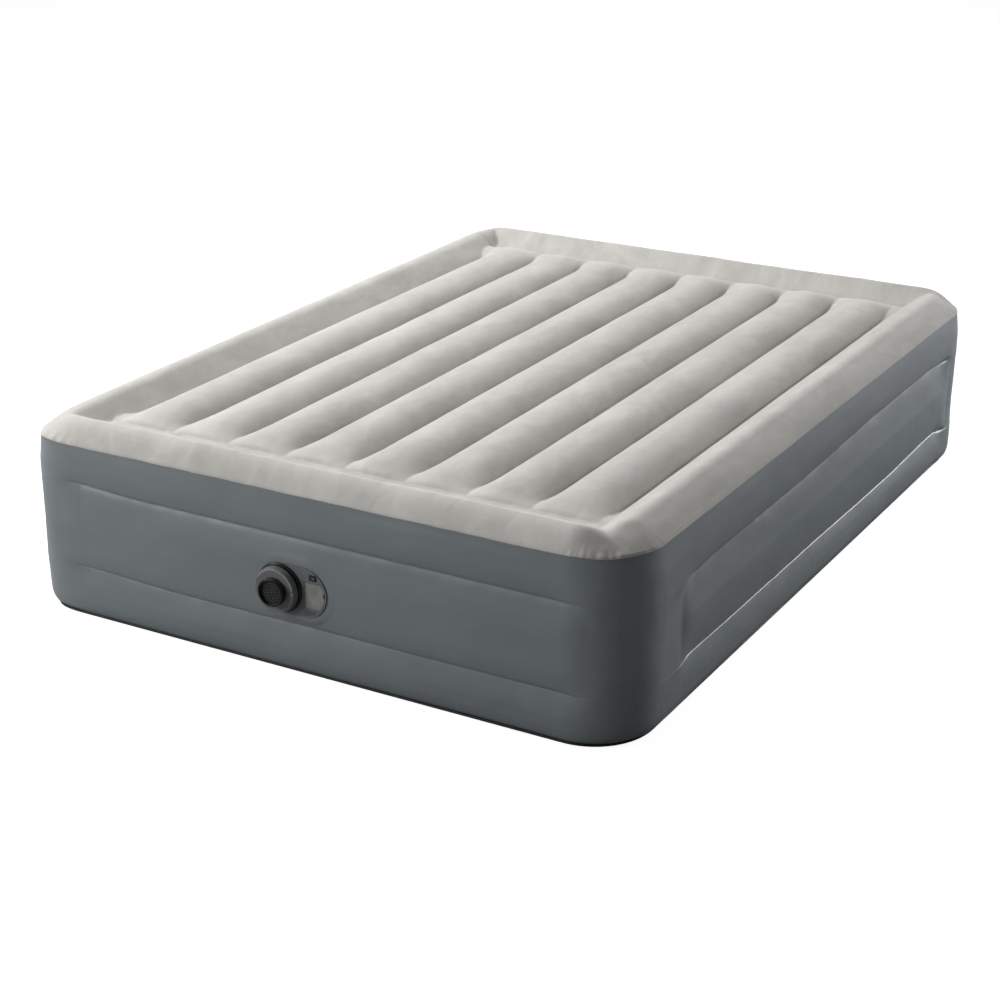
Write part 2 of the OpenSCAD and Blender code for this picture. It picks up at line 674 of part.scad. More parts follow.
module valve_sleeve() color("silver") at_pump() difference() {
    translate([0, 0, cover_w]) cylinder(r = sleeve_out_r, h = -cover_w);
    translate([0, 0, cover_w - 1]) cylinder(r = sleeve_in_r, h = -cover_w + 2);
    for (a = [90, 270]) rotate([0, 0, a - window_turn]) translate([0, 0, port_low_w()])
        linear_extrude(port_h) window_slice(sleeve_in_r - 1, sleeve_out_r + 1, port_w_angle);
}

// ---------- Blower and motor ----------

module blower_cover() color("lightgray") at_pump() difference() {
    translate([0, 0, volute_w]) cylinder(r = plate_r, h = cover_t);
    for (a = [0, 180]) rotate([0, 0, a + window_turn]) translate([0, 0, volute_w - 1])
        linear_extrude(cover_t + 2) window_slice(window_in_r, window_out_r, window_angle);
    post_places() translate([0, 0, volute_w - 1]) cylinder(r = screw_r + pin_gap, h = cover_t + 2);
}

// The duct leaves the volute at its lower side and blows to the right.
duct_top = -volute_in_r + 18;
duct_end = volute_out_r + 10;
module volute() color("lightgray") at_pump() difference() {
    union() {
        translate([0, 0, volute_back_w]) cylinder(r = volute_out_r, h = volute_h);
        translate([0, -volute_out_r, volute_back_w]) cube([duct_end, duct_top + volute_out_r, volute_h]);
        translate([0, 0, motor_w]) cylinder(r = plate_r, h = cover_t);
        post_places() translate([0, 0, volute_back_w - overlap]) cylinder(r = post_r, h = volute_h + overlap);
    }
    translate([0, 0, volute_back_w]) cylinder(r = volute_in_r, h = volute_h + 1);
    translate([0, -volute_in_r, volute_back_w + volute_wall])
        cube([duct_end + 1, duct_top + volute_in_r - volute_wall, volute_h - 2 * volute_wall]);
    translate([0, 0, motor_w - 1]) cylinder(r = 7, h = cover_t + 2);
    for (x = [-12, 12]) translate([x, 0, motor_w - 1]) cylinder(r = screw_r + pin_gap, h = cover_t + 2);
    post_places() translate([0, 0, motor_w - 1]) cylinder(r = screw_r + pin_gap, h = volute_h + cover_t + 2);
}

module blower_screws() color("silver") at_pump() post_places() {
    translate([0, 0, cover_w]) cylinder(r = screw_head_r, h = screw_head_h);
    translate([0, 0, motor_w - 12]) cylinder(r = screw_r, h = cover_w - motor_w + 12 + overlap);
}

blade_h = volute_h - 9;
blade_low_w = volute_back_w + 4;
module impeller() color("whitesmoke") at_pump() difference() {
    union() {
        translate([0, 0, blade_low_w - 1.6]) cylinder(r = impeller_r, h = 1.6 + overlap);
        translate([0, 0, blade_low_w - 1.6]) cylinder(r = 7, h = blade_h + 1.6);
        for (i = [0:blade_count - 1]) rotate([0, 0, i * 360 / blade_count])
            translate([0, 0, blade_low_w]) linear_extrude(blade_h) blade_shape();
    }
    translate([0, 0, blade_low_w - 3]) cylinder(r = shaft_r + 0.01, h = blade_h + 6);
}
// A backward-curved blade, cut from a ring.
module blade_shape() intersection() {
    translate([20, -16]) difference() {
        circle(impeller_r - 10);
        circle(impeller_r - 11.4);
    }
    difference() {
        circle(impeller_r - 0.5);
        circle(12);
    }
    square(impeller_r);
}

module motor_shaft() color("silver") at_pump()
    translate([0, 0, motor_end_w - 5]) cylinder(r = shaft_r, h = blade_low_w + blade_h - motor_end_w + 5);

module motor_can() color("silver") at_pump() difference() {
    translate([0, 0, motor_end_w]) cylinder(r = motor_r, h = motor_l);
    translate([0, 0, motor_end_w - 1]) cylinder(r = motor_r - 1.5, h = motor_l - 0.5);
    translate([0, 0, motor_w - 3]) cylinder(r = 5 + pin_gap, h = 4);
    for (x = [-12, 12]) translate([x, 0, motor_w - 3]) cylinder(r = screw_r + pin_gap, h = 4);
}

module motor_magnets() color("gray") at_pump() for (a = [0, 180]) rotate([0, 0, a])
    translate([0, 0, motor_end_w + 6]) linear_extrude(motor_l - 14)
        window_slice(motor_r - 6, motor_r - 1.8, 130);

module motor_rotor() color("peru") at_pump() difference() {
    union() {
        translate([0, 0, motor_end_w + 8]) cylinder(r = motor_r - 6.8, h = motor_l - 18);
        translate([0, 0, motor_end_w + 4.5]) cylinder(r = 4, h = motor_l - 12);
    }
    translate([0, 0, motor_end_w]) cylinder(r = shaft_r + 0.01, h = motor_l);
}

module motor_end_cap() color("black") at_pump() difference() {
    union() {
        translate([0, 0, motor_end_w - 2.5]) cylinder(r = motor_r, h = 2.5);
        translate([0, 0, motor_end_w - overlap]) cylinder(r = motor_r - 1.5 - seat_gap, h = 2 + overlap);
        translate([0, 0, motor_end_w - 8]) cylinder(r = 8, h = 6);
    }
    translate([0, 0, motor_end_w - 6]) cylinder(r = 4 + pin_gap, h = 12);
}

// Bearings at the two ends of the shaft.
module motor_bushes() color("goldenrod") at_pump() {
    for (bush = [[motor_w - 4.5, 5], [motor_end_w - 5.8, 4]]) difference() {
        translate([0, 0, bush[0]]) cylinder(r = bush[1], h = 5);
        translate([0, 0, bush[0] - 1]) cylinder(r = shaft_r + pin_gap, h = 7);
    }
}

module motor_screws() color("silver") at_pump() for (x = [-12, 12]) translate([x, 0, 0]) {
    translate([0, 0, volute_back_w]) cylinder(r = screw_head_r, h = screw_head_h);
    translate([0, 0, motor_w - 1.4]) cylinder(r = screw_r, h = cover_t + 1.4 + overlap);
}

module motor_cushion() color("black") at_pump() difference() {
    translate([0, 0, motor_end_w - 7.5]) cylinder(r = 11 - pin_gap, h = 4.6);
    translate([0, 0, motor_end_w - 8.5]) cylinder(r = 8 + pin_gap, h = 7);
}

// ---------- Wires ----------

function turn_frame(d) = let (s = unit(cross(d, abs(d[2]) > 0.9 ? [0, 1, 0] : [0, 0, 1]))) [s, unit(cross(s, d))];
wire_sides = 8;
module wire(route, r) {
    last = len(route) - 1;
    points = [for (i = [0:last])
        let (d = unit(route[min(i + 1, last)] - route[max(i - 1, 0)]), f = turn_frame(d))
        for (k = [0:wire_sides - 1]) let (a = 360 * k / wire_sides)
            route[i] + r * (cos(a) * f[0] + sin(a) * f[1])];
    polyhedron(points, concat(
        [for (i = [0:last - 1]) each ring_faces(wire_sides, i * wire_sides, (i + 1) * wire_sides, true)],
        [[for (k = [wire_sides - 1:-1:0]) k]],
        [[for (k = [0:wire_sides - 1]) last * wire_sides + k]]
    ));
}
wire_r = 1.1;
wire_steps = 12;
// A smooth route between two ends, which leaves each end towards its own guide point.
function route(a, a_guide, b_guide, b) = [for (i = [0:wire_steps]) let (t = i / wire_steps, s = 1 - t)
    s * s * s * a + 3 * s * s * t * a_guide + 3 * s * t * t * b_guide + t * t * t * b];
function terminal(side) = [switch_at[0] + side * terminal_u, switch_at[1], -switch_depth - terminal_l - 0.3];
gland_back = [gland_at[0], gland_at[1], -bay_depth - bay_wall - 3.4];
motor_tag = [motor_r + 0.3, 4, motor_end_w - 1.2];
module motor_leads() color("firebrick") at_pump()
    wire(route(terminal(-1), terminal(-1) - [0, 0, 0.95 * tub_depth], motor_tag + [60, 6, 4], motor_tag), wire_r);
module supply_leads() color("navy") at_pump()
    wire(route(gland_back, gland_back + [0, 8, -32], terminal(1) - [0, 0, 58], terminal(1)), wire_r);

// ---------- Nodes ----------

top_sheet();
side_wall();
pump_panel();
bottom_sheet();
for (i = [0:beam_count]) fibre_panel(i);
for (k = [0:3]) for (upper = [0:1])
    tie_band(k, upper == 1);
pump_tub();
faceplate();
cord_bay();
cord_gland();
bay_lid();
lid_pin();
lid_plate();
switch_body();
switch_rocker();
switch_axle();
dial_bezel();
index_mark();
dial();
dial_grip();
dial_marks();
intake_grille();
valve_barrel();
barrel_o_rings();
dial_screws();
valve_sleeve();
blower_cover();
volute();
blower_screws();
impeller();
motor_shaft();
motor_rotor();
motor_can();
motor_magnets();
motor_end_cap();
motor_bushes();
motor_screws();
motor_cushion();
outlet_grille();
motor_leads();
supply_leads();
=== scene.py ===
"""Looks of an air mattress with a built-in electric pump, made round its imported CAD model."""

import json
import math

import bpy
import numpy as np
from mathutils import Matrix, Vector


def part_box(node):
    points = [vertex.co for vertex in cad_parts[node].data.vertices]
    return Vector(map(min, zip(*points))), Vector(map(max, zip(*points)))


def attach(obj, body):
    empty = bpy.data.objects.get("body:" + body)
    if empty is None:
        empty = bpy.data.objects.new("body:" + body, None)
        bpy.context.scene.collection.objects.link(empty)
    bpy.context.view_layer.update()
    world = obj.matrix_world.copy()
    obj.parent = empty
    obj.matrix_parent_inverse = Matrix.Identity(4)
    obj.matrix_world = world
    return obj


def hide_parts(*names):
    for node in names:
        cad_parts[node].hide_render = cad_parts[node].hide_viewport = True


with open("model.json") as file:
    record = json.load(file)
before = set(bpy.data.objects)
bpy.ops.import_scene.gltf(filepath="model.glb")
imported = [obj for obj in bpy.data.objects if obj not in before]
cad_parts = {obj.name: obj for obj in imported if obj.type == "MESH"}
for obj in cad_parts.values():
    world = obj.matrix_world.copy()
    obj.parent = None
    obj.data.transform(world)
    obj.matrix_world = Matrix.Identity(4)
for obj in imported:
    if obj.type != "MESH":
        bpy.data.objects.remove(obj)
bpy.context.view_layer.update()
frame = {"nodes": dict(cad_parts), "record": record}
scene = bpy.context.scene
nodes = frame["nodes"]

# ---------------------------------------------------------------- camera

FOCAL_PIXELS, PICTURE_PIXELS = 2064.19, 1000
SENSOR_MM = 36


def add_camera():
    """The one camera that explains the photograph's outline, seam, grooves and pump."""
    place = Vector((2.30939574, -4.2290553, 1.99109403))
    ahead = Vector((-0.46067576, 0.80535959, -0.37306001))
    data = bpy.data.cameras.new("photo_camera")
    data.sensor_width = SENSOR_MM
    data.lens = FOCAL_PIXELS / PICTURE_PIXELS * SENSOR_MM
    data.clip_end = 100
    camera = bpy.data.objects.new("photo_camera", data)
    camera.location = place
    camera.rotation_euler = (-ahead).to_track_quat("Z", "Y").to_euler()
    scene.collection.objects.link(camera)
    scene.camera = camera


add_camera()
scene.view_settings.view_transform = "Standard"

# ---------------------------------------------------------------- sizes, in metres

HALF_W, HALF_L = 0.760, 1.015
BORDER = 0.156  # width of the raised border and radius of the corners
CORE_X, CORE_Y = HALF_W - BORDER, HALF_L - BORDER
SEAM_INSET, SEAM_Z = 0.008, 0.416
GROOVE_Z = 0.4115
BEAMS = 8
PITCH = 2 * CORE_X / BEAMS
PUMP_X, PUMP_Z = -0.060, 0.200  # the dial's axis
FACE_SPAN = 0.060  # between the centres of the pump face's two round ends
WALL_HOLE_R = 0.0563  # of each round end of the wall's opening for the pump
BASE_FURTHER_IN = 0.0060  # how much further in the long sides stand at the floor than the ends do

# ---------------------------------------------------------------- helpers


def smooth(x, low, high):
    """0 below low, 1 above high, and an even S between."""
    t = np.clip((x - low) / (high - low), 0, 1)
    return t * t * (3 - 2 * t)


class Noise:
    """Smooth value noise on a lattice, the same in each run."""

    def __init__(self, seed):
        self.table = np.random.RandomState(seed).uniform(-1, 1, (64, 64, 64))

    def __call__(self, x, y, z=0.0):
        x, y, z = np.broadcast_arrays(
            np.asarray(x, float), np.asarray(y, float), np.asarray(z, float)
        )
        base = [np.floor(c).astype(int) for c in (x, y, z)]
        part = [c - b for c, b in zip((x, y, z), base)]
        part = [p * p * (3 - 2 * p) for p in part]
        total = np.zeros(x.shape)
        for dx in (0, 1):
            for dy in (0, 1):
                for dz in (0, 1):
                    share = (
                        (part[0] if dx else 1 - part[0])
                        * (part[1] if dy else 1 - part[1])
                        * (part[2] if dz else 1 - part[2])
                    )
                    total += share * self.table[
                        (base[0] + dx) % 64, (base[1] + dy) % 64, (base[2] + dz) % 64
                    ]
        return total


def spaced(low, high, count, ends):
    """Positions between low and high, denser at both ends by the given share."""
    k = np.arange(count + 1) / count
    return low + (high - low) * (
        (1 - ends) * k + ends * (0.5 - 0.5 * np.cos(math.pi * k))
    )


def grid_faces(rows, columns, wrap=False):
    """Quads of a grid whose points run along the columns first."""
    last = columns if wrap else columns - 1
    j, i = np.meshgrid(np.arange(rows - 1), np.arange(last), indexing="ij")
    n = (i + 1) % columns
    return np.stack(
        [j * columns + i, j * columns + n, (j + 1) * columns + n, (j + 1) * columns + i],
        axis=-1,
    ).reshape(-1, 4)


def mesh_piece(name, points, faces):
    """A smooth-shaded object from points and the faces between them."""
    mesh = bpy.data.meshes.new(name)
    mesh.from_pydata(
        [tuple(p) for p in np.asarray(points, float)], [], [tuple(int(v) for v in f) for f in faces]
    )
    mesh.validate()
    mesh.update()
    mesh.polygons.foreach_set("use_smooth", [True] * len(mesh.polygons))
    obj = bpy.data.objects.new(name, mesh)
    scene.collection.objects.link(obj)
    return obj


def dress(obj, material):
    obj.data.materials.clear()
    obj.data.materials.append(material)


# ---------------------------------------------------------------- materials


class Shader:
    """A Principled material, with short calls for the nodes that feed it."""

    def __init__(self, name):
        self.material = bpy.data.materials.new(name)
        self.material.use_nodes = True
        self.tree = self.material.node_tree
        self.main = self.tree.nodes["Principled BSDF"]
        self.place = self.tree.nodes.new("ShaderNodeTexCoord").outputs["Object"]

    def set(self, **values):
        for key, value in values.items():
            socket = self.main.inputs[key.replace("_", " ")]
            socket.default_value = value

    def link(self, out, into):
        self.tree.links.new(out, into)

    def scaled(self, scale, turn=(0, 0, 0)):
        node = self.tree.nodes.new("ShaderNodeMapping")
        node.inputs["Scale"].default_value = scale
        node.inputs["Rotation"].default_value = turn
        self.link(self.place, node.inputs["Vector"])
        return node.outputs["Vector"]

    def noise(self, scale, detail, rough, vector=None, distortion=0.0):
        node = self.tree.nodes.new("ShaderNodeTexNoise")
        node.inputs["Scale"].default_value = scale
        node.inputs["Detail"].default_value = detail
        node.inputs["Roughness"].default_value = rough
        node.inputs["Distortion"].default_value = distortion
        self.link(vector or self.place, node.inputs["Vector"])
        return node.outputs["Fac"]

    def ramp(self, value, stops):
        node = self.tree.nodes.new("ShaderNodeValToRGB")
        points = node.color_ramp.elements
        while len(points) < len(stops):
            points.new(0.5)
        for point, (at, colour) in zip(points, stops):
            point.position = at
            point.color = (
                (*colour, 1) if hasattr(colour, "__len__") else (colour, colour, colour, 1)
            )
        self.link(value, node.inputs["Fac"])
        return node.outputs["Color"]

    def mix(self, share, a, b, kind="MIX"):
        node = self.tree.nodes.new("ShaderNodeMix")
        node.data_type = "RGBA"
        node.blend_type = kind
        for socket, value in ((node.inputs[0], share), (node.inputs[6], a), (node.inputs[7], b)):
            if isinstance(value, (int, float)):
                socket.default_value = value
            elif isinstance(value, tuple):
                socket.default_value = (*value, 1)
            else:
                self.link(value, socket)
        return node.outputs[2]

    def colour(self, value):
        self.link(value, self.main.inputs["Base Color"])

    def rough(self, value):
        self.link(value, self.main.inputs["Roughness"])

    def bump(self, height, strength, distance):
        node = self.tree.nodes.new("ShaderNodeBump")
        node.inputs["Strength"].default_value = strength
        node.inputs["Distance"].default_value = distance
        self.link(height, node.inputs["Height"])
        before = self.main.inputs["Normal"].links
        if before:
            self.link(before[0].from_socket, node.inputs["Normal"])
        self.link(node.outputs["Normal"], self.main.inputs["Normal"])


def flock():
    """Short flock on vinyl: matt, mottled where the pile was brushed, with a soft sheen."""
    s = Shader("flocked_top")
    brushed = s.noise(5.0, 6, 0.62, s.scaled((1.0, 0.45, 1.0), (0, 0, 0.25)), 0.6)
    blotch = s.noise(15.0, 5, 0.6, s.scaled((1.5, 0.7, 1.0), (0, 0, -0.35)), 0.8)
    pile = s.noise(620.0, 2, 0.6)
    tone = s.mix(0.45, brushed, blotch)
    base = s.ramp(
        tone,
        [(0.30, (0.490, 0.472, 0.440)), (0.5, (0.605, 0.586, 0.550)), (0.70, (0.720, 0.700, 0.662))],
    )
    s.colour(s.mix(0.16, base, s.ramp(pile, [(0.25, 0.2), (0.75, 0.85)]), "OVERLAY"))
    s.rough(s.ramp(blotch, [(0.3, 0.80), (0.7, 0.95)]))
    s.set(Sheen_Weight=0.32, Sheen_Roughness=0.45, Specular_IOR_Level=0.25)
    s.bump(pile, 0.35, 0.0006)
    s.bump(blotch, 0.25, 0.003)
    return s.material


def vinyl(name, dark, light, rough=(0.36, 0.46)):
    """Calendered PVC: satin, with a fine grain and faint long streaks from the roller."""
    s = Shader(name)
    streak = s.noise(3.0, 4, 0.55, s.scaled((1.0, 1.0, 4.5)), 0.3)
    cloud = s.noise(7.0, 5, 0.6)
    fine = s.noise(480.0, 3, 0.6)
    tone = s.mix(0.5, streak, cloud)
    s.colour(s.ramp(tone, [(0.32, dark), (0.68, light)]))
    s.rough(s.ramp(s.mix(0.4, cloud, fine), [(0.3, rough[0]), (0.7, rough[1])]))
    s.set(Specular_IOR_Level=0.5)
    s.bump(fine, 0.10, 0.0005)
    s.bump(streak, 0.10, 0.004)
    return s.material


def plastic(name, dark, light, rough=(0.38, 0.50), grain=900.0):
    """Moulded plastic with a spark-eroded grain."""
    s = Shader(name)
    grained = s.noise(grain, 3, 0.65)
    cloud = s.noise(38.0, 4, 0.6)
    s.colour(s.ramp(cloud, [(0.35, dark), (0.65, light)]))
    s.rough(s.ramp(grained, [(0.3, rough[0]), (0.7, rough[1])]))
    s.set(Specular_IOR_Level=0.5)
    s.bump(grained, 0.15, 0.00025)
    return s.material


def metal(name, dark, light, rough=(0.25, 0.42)):
    """Turned or drawn metal with fine lines."""
    s = Shader(name)
    lines = s.noise(700.0, 3, 0.6, s.scaled((1.0, 0.08, 1.0)))
    cloud = s.noise(60.0, 3, 0.6)
    s.colour(s.ramp(cloud, [(0.35, dark), (0.65, light)]))
    s.rough(s.ramp(lines, [(0.3, rough[0]), (0.7, rough[1])]))
    s.set(Metallic=1.0)
    s.bump(lines, 0.12, 0.0002)
    return s.material


def web_cloth():
    """Parallel polyester threads between two tapes."""
    s = Shader("fibre_web")
    threads = s.noise(900.0, 2, 0.5, s.scaled((1.0, 1.0, 0.02)))
    s.colour(s.ramp(threads, [(0.35, (0.50, 0.50, 0.48)), (0.65, (0.82, 0.82, 0.79))]))
    s.rough(s.ramp(threads, [(0.3, 0.6), (0.7, 0.85)]))
    s.set(Sheen_Weight=0.2)
    s.bump(threads, 0.5, 0.0005)
    return s.material


looks = {
    "flocked_top": flock(),
    "wall_vinyl": vinyl("wall_vinyl", (0.268, 0.302, 0.320), (0.308, 0.344, 0.362)),
    # The bottom sheet's near-black is partly its own colour and partly painted shade, for the shadow gap
    # along the wall's foot.
    "base_vinyl": vinyl("base_vinyl", (0.016, 0.018, 0.019), (0.024, 0.027, 0.029), (0.45, 0.6)),
    "fibre_web": web_cloth(),
    "tie_vinyl": vinyl("tie_vinyl", (0.25, 0.27, 0.28), (0.32, 0.34, 0.35)),
    "tub_plastic": plastic("tub_plastic", (0.050, 0.055, 0.058), (0.065, 0.070, 0.074)),
    "face_plastic": plastic("face_plastic", (0.190, 0.212, 0.214), (0.230, 0.254, 0.254)),
    "grip_plastic": plastic("grip_plastic", (0.185, 0.190, 0.186), (0.235, 0.240, 0.234), (0.28, 0.40)),
    # The grille's gray is partly its own colour and partly painted highlight on its ribs.
    "grille_plastic_and_highlight": plastic("grille_plastic_and_highlight", (0.045, 0.048, 0.048), (0.062, 0.065, 0.064), (0.25, 0.35)),
    "plate_film": plastic("plate_film", (0.300, 0.312, 0.290), (0.420, 0.430, 0.405), (0.3, 0.45), 500.0),
    "black_plastic": plastic("black_plastic", (0.010, 0.011, 0.012), (0.016, 0.017, 0.018), (0.3, 0.45)),
    "rocker_plastic": plastic("rocker_plastic", (0.12, 0.125, 0.13), (0.15, 0.155, 0.16)),
    "white_print": plastic("white_print", (0.82, 0.82, 0.81), (0.90, 0.90, 0.89), (0.45, 0.6), 1500.0),
    "inner_plastic": plastic("inner_plastic", (0.42, 0.43, 0.43), (0.52, 0.53, 0.53)),
    "black_rubber": plastic("black_rubber", (0.014, 0.014, 0.014), (0.024, 0.024, 0.024), (0.6, 0.8)),
    "steel": metal("steel", (0.42, 0.43, 0.44), (0.60, 0.61, 0.62)),
    "bronze": metal("bronze", (0.50, 0.33, 0.13), (0.68, 0.48, 0.22)),
    "wire_insulation": plastic("wire_insulation", (0.20, 0.02, 0.02), (0.27, 0.03, 0.03), (0.35, 0.5)),
}
for row in frame["record"]["subparts"]:
    dress(nodes[row["node"]], looks[row["material_slot"]])
# The grip and the grille differ a little from the other parts of their slots; the grille's lighter gray is
# partly painted highlight, for light caught on its ribs.
dress(nodes["dial_grip"], looks["grip_plastic"])
dress(nodes["intake_grille"], looks["grille_plastic_and_highlight"])

# ---------------------------------------------------------------- top sheet


class Profile:
    """A smooth line through a few points, which turns only where the points do."""

    def __init__(self, *points):
        self.x, self.y = np.array(points, float).T
        step = np.diff(self.x)
        rise = np.diff(self.y) / step
        slope = np.zeros(len(self.x))
        same = rise[:-1] * rise[1:] > 0
        w1, w2 = 2 * step[1:] + step[:-1], step[1:] + 2 * step[:-1]
        with np.errstate(divide="ignore", invalid="ignore"):
            middle = (w1 + w2) / (w1 / rise[:-1] + w2 / rise[1:])
        slope[1:-1] = np.where(same, middle, 0)
        slope[0], slope[-1] = rise[0], rise[-1]
        self.slope = slope

    def __call__(self, x):
        x = np.clip(x, self.x[0], self.x[-1])
        i = np.clip(np.searchsorted(self.x, x) - 1, 0, len(self.x) - 2)
        h = self.x[i + 1] - self.x[i]
        t = (x - self.x[i]) / h
        return (
            (1 + 2 * t) * (1 - t) ** 2 * self.y[i]
            + t * (1 - t) ** 2 * h * self.slope[i]
            + t * t * (3 - 2 * t) * self.y[i + 1]
            + t * t * (t - 1) * h * self.slope[i + 1]
        )


# Heights across the border, by the distance from the widest outline: at the ends, and at each long side.
END_BORDER = Profile(
    (0.008, 0.4160), (0.020, 0.4322), (0.033, 0.4470), (0.045, 0.4562), (0.057, 0.4600), (0.068, 0.4575),
    (0.084, 0.4490), (0.101, 0.4385), (0.120, 0.4290), (0.138, 0.4240), (0.156, 0.4232),
)
LEFT_BORDER = Profile(
    (0.008, 0.4160), (0.018, 0.4268), (0.032, 0.4390), (0.046, 0.4490), (0.062, 0.4560), (0.076, 0.4583),
    (0.088, 0.4555), (0.104, 0.4462), (0.124, 0.4325), (0.142, 0.4205), (0.156, 0.4115),
)
RIGHT_BORDER = Profile(
    (0.008, 0.4160), (0.019, 0.4245), (0.035, 0.4358), (0.055, 0.4470), (0.068, 0.4532), (0.078, 0.4552),
    (0.090, 0.4530), (0.106, 0.4450), (0.128, 0.4310), (0.156, 0.4115),
)
# Heights of a beam's crest and of a groove, by the distance from the border at an end.
BEAM_CREST = Profile(
    (0.0, 0.4232), (0.004, 0.4290), (0.008, 0.4330), (0.014, 0.4360), (0.025, 0.4402), (0.042, 0.4455),
    (0.065, 0.4485), (0.100, 0.4495), (0.900, 0.4495),
)
FAR_GROOVE = Profile(
    (0.0, 0.4232), (0.004, 0.4280), (0.008, 0.4305), (0.020, 0.4310), (0.040, 0.4300), (0.060, 0.4255),
    (0.090, 0.4165), (0.130, 0.4118), (0.170, 0.4115), (0.900, 0.4115),
)
NEAR_GROOVE = Profile(
    (0.0, 0.4232), (0.006, 0.4246), (0.016, 0.4262), (0.035, 0.4258), (0.060, 0.4215), (0.090, 0.4160),
    (0.125, 0.4122), (0.170, 0.4115), (0.900, 0.4115),
)
END_CREST, SIDE_CREST = 0.057, 0.077
# How square each corner is, as the power of its outline: 2 is a round one.
CORNER_POWER = {(-1, -1): 3.6, (1, -1): 2.05, (1, 1): 3.6, (-1, 1): 2.8}


def corner_power(x, y):
    """The power of the nearest corner's outline."""
    low = np.where(x < 0, CORNER_POWER[(-1, -1)], CORNER_POWER[(1, -1)])
    high = np.where(x < 0, CORNER_POWER[(-1, 1)], CORNER_POWER[(1, 1)])
    return np.where(y < 0, low, high)


def corner_reach(angle, power):
    """Reach of a squared corner's outline, as a share of a round one's, at an angle in radians."""
    c, s = np.abs(np.cos(angle)), np.abs(np.sin(angle))
    return (c**power + s**power) ** (-1 / power)


def groove_height(y):
    """Height of the grooves between the beams, which rise at both ends."""
    return np.where(y < 0, NEAR_GROOVE(CORE_Y - np.abs(y)), FAR_GROOVE(CORE_Y - np.abs(y)))


def core_height(x, y):
    """Height of the beams and their grooves: each beam is an arc from groove to groove."""
    across = (x + CORE_X) / PITCH
    u = 2 * (across - np.floor(across)) - 1
    end = CORE_Y - np.abs(y)
    crest, groove = BEAM_CREST(end), groove_height(y)
    rise = np.maximum(crest - groove, 1e-4)
    half = PITCH / 2
    radius = (half**2 + rise**2) / (2 * rise)
    arc = np.sqrt(np.maximum(radius**2 - (u * half) ** 2, 0)) - (radius - rise)
    return groove + arc


def soft_max(a, b, blend):
    """The larger of two heights, rounded where they cross."""
    over = np.clip(0.5 + (a - b) / (2 * blend), 0, 1)
    return b + (a - b) * over + blend * over * (1 - over) * 0.5


def side_border(inset, x):
    """Height across a long border, the left one or the right one."""
    return np.where(x < 0, LEFT_BORDER(inset), RIGHT_BORDER(inset))


def border_height(x, inset_x, inset_y, inset_out, diagonal):
    """Height of the border, by the distances to the side, to the end and to the outline.

    On a corner's diagonal, where the last value is 1, the border is rounder.
    """
    end = np.where(inset_y < END_CREST, END_BORDER(END_CREST), END_BORDER(inset_y))
    crest = side_border(SIDE_CREST, x)
    side = np.where(inset_x < SIDE_CREST, crest, side_border(inset_x, x))
    top = soft_max(end, side, 0.003)
    towards_end = smooth(inset_x - inset_y, -0.05, 0.05)
    end_out = SEAM_INSET + (inset_out - SEAM_INSET) / (1 + 0.8 * diagonal)
    side_out = SEAM_INSET + (inset_out - SEAM_INSET) / (1 + 0.3 * diagonal)
    share_end = (END_BORDER(np.minimum(end_out, END_CREST)) - SEAM_Z) / (END_BORDER(END_CREST) - SEAM_Z)
    share_side = (side_border(np.minimum(side_out, SIDE_CREST), x) - SEAM_Z) / (crest - SEAM_Z)
    share = share_side + (share_end - share_side) * towards_end
    return SEAM_Z + (top - SEAM_Z) * share


def top_axis(core, positions, border_steps):
    """Positions along one axis, through the border, the core and the border again.

    Each comes with its distance beyond the core and its number of steps into the border.
    """
    reach = (BORDER - SEAM_INSET) * spaced(0, 1, border_steps, 0.35)[1:]
    inside = np.zeros(len(positions))
    place = np.concatenate([np.full(border_steps, -core), positions, np.full(border_steps, core)])
    beyond = np.concatenate([-reach[::-1], inside, reach])
    step = np.concatenate([np.arange(-border_steps, 0), inside, np.arange(1, border_steps + 1)])
    return place, beyond, step


def fold(x, y, sign_x, sign_y, angle, length, width, depth):
    """Depth of a sharp fold out from a corner of the core, at an angle from the end border's line."""
    a = math.radians(angle)
    dx, dy = sign_x * x - CORE_X + 0.012, sign_y * y - CORE_Y + 0.004
    along = dx * math.cos(a) + dy * math.sin(a)
    off = np.abs(-dx * math.sin(a) + dy * math.cos(a))
    share = smooth(along, 0.0, 0.03) * (1 - smooth(along, length - 0.05, length))
    return depth * share * np.clip(1 - off / width, 0, 1) ** 1.8


def top_positions():
    """Mesh lines of the beams' field: finer at each groove, and at the beams' ends."""
    beams = [spaced(-CORE_X + k * PITCH, -CORE_X + (k + 1) * PITCH, 24, 0.45)[1:] for k in range(BEAMS)]
    across = np.concatenate([[-CORE_X]] + beams)
    tips = 0.160
    near = np.concatenate([np.arange(0, 0.024, 0.002), np.arange(0.024, tips, 0.0045)])
    middle = np.linspace(-CORE_Y + tips, CORE_Y - tips, 110)
    along = np.concatenate([-CORE_Y + near, middle, CORE_Y - near[::-1]])
    return across, along


def outline_ring(rows, columns):
    """Row and column of each point round the edge of a grid."""
    return (
        [(0, i) for i in range(columns)]
        + [(j, columns - 1) for j in range(1, rows)]
        + [(rows - 1, i) for i in range(columns - 2, -1, -1)]
        + [(j, 0) for j in range(rows - 2, 0, -1)]
    )


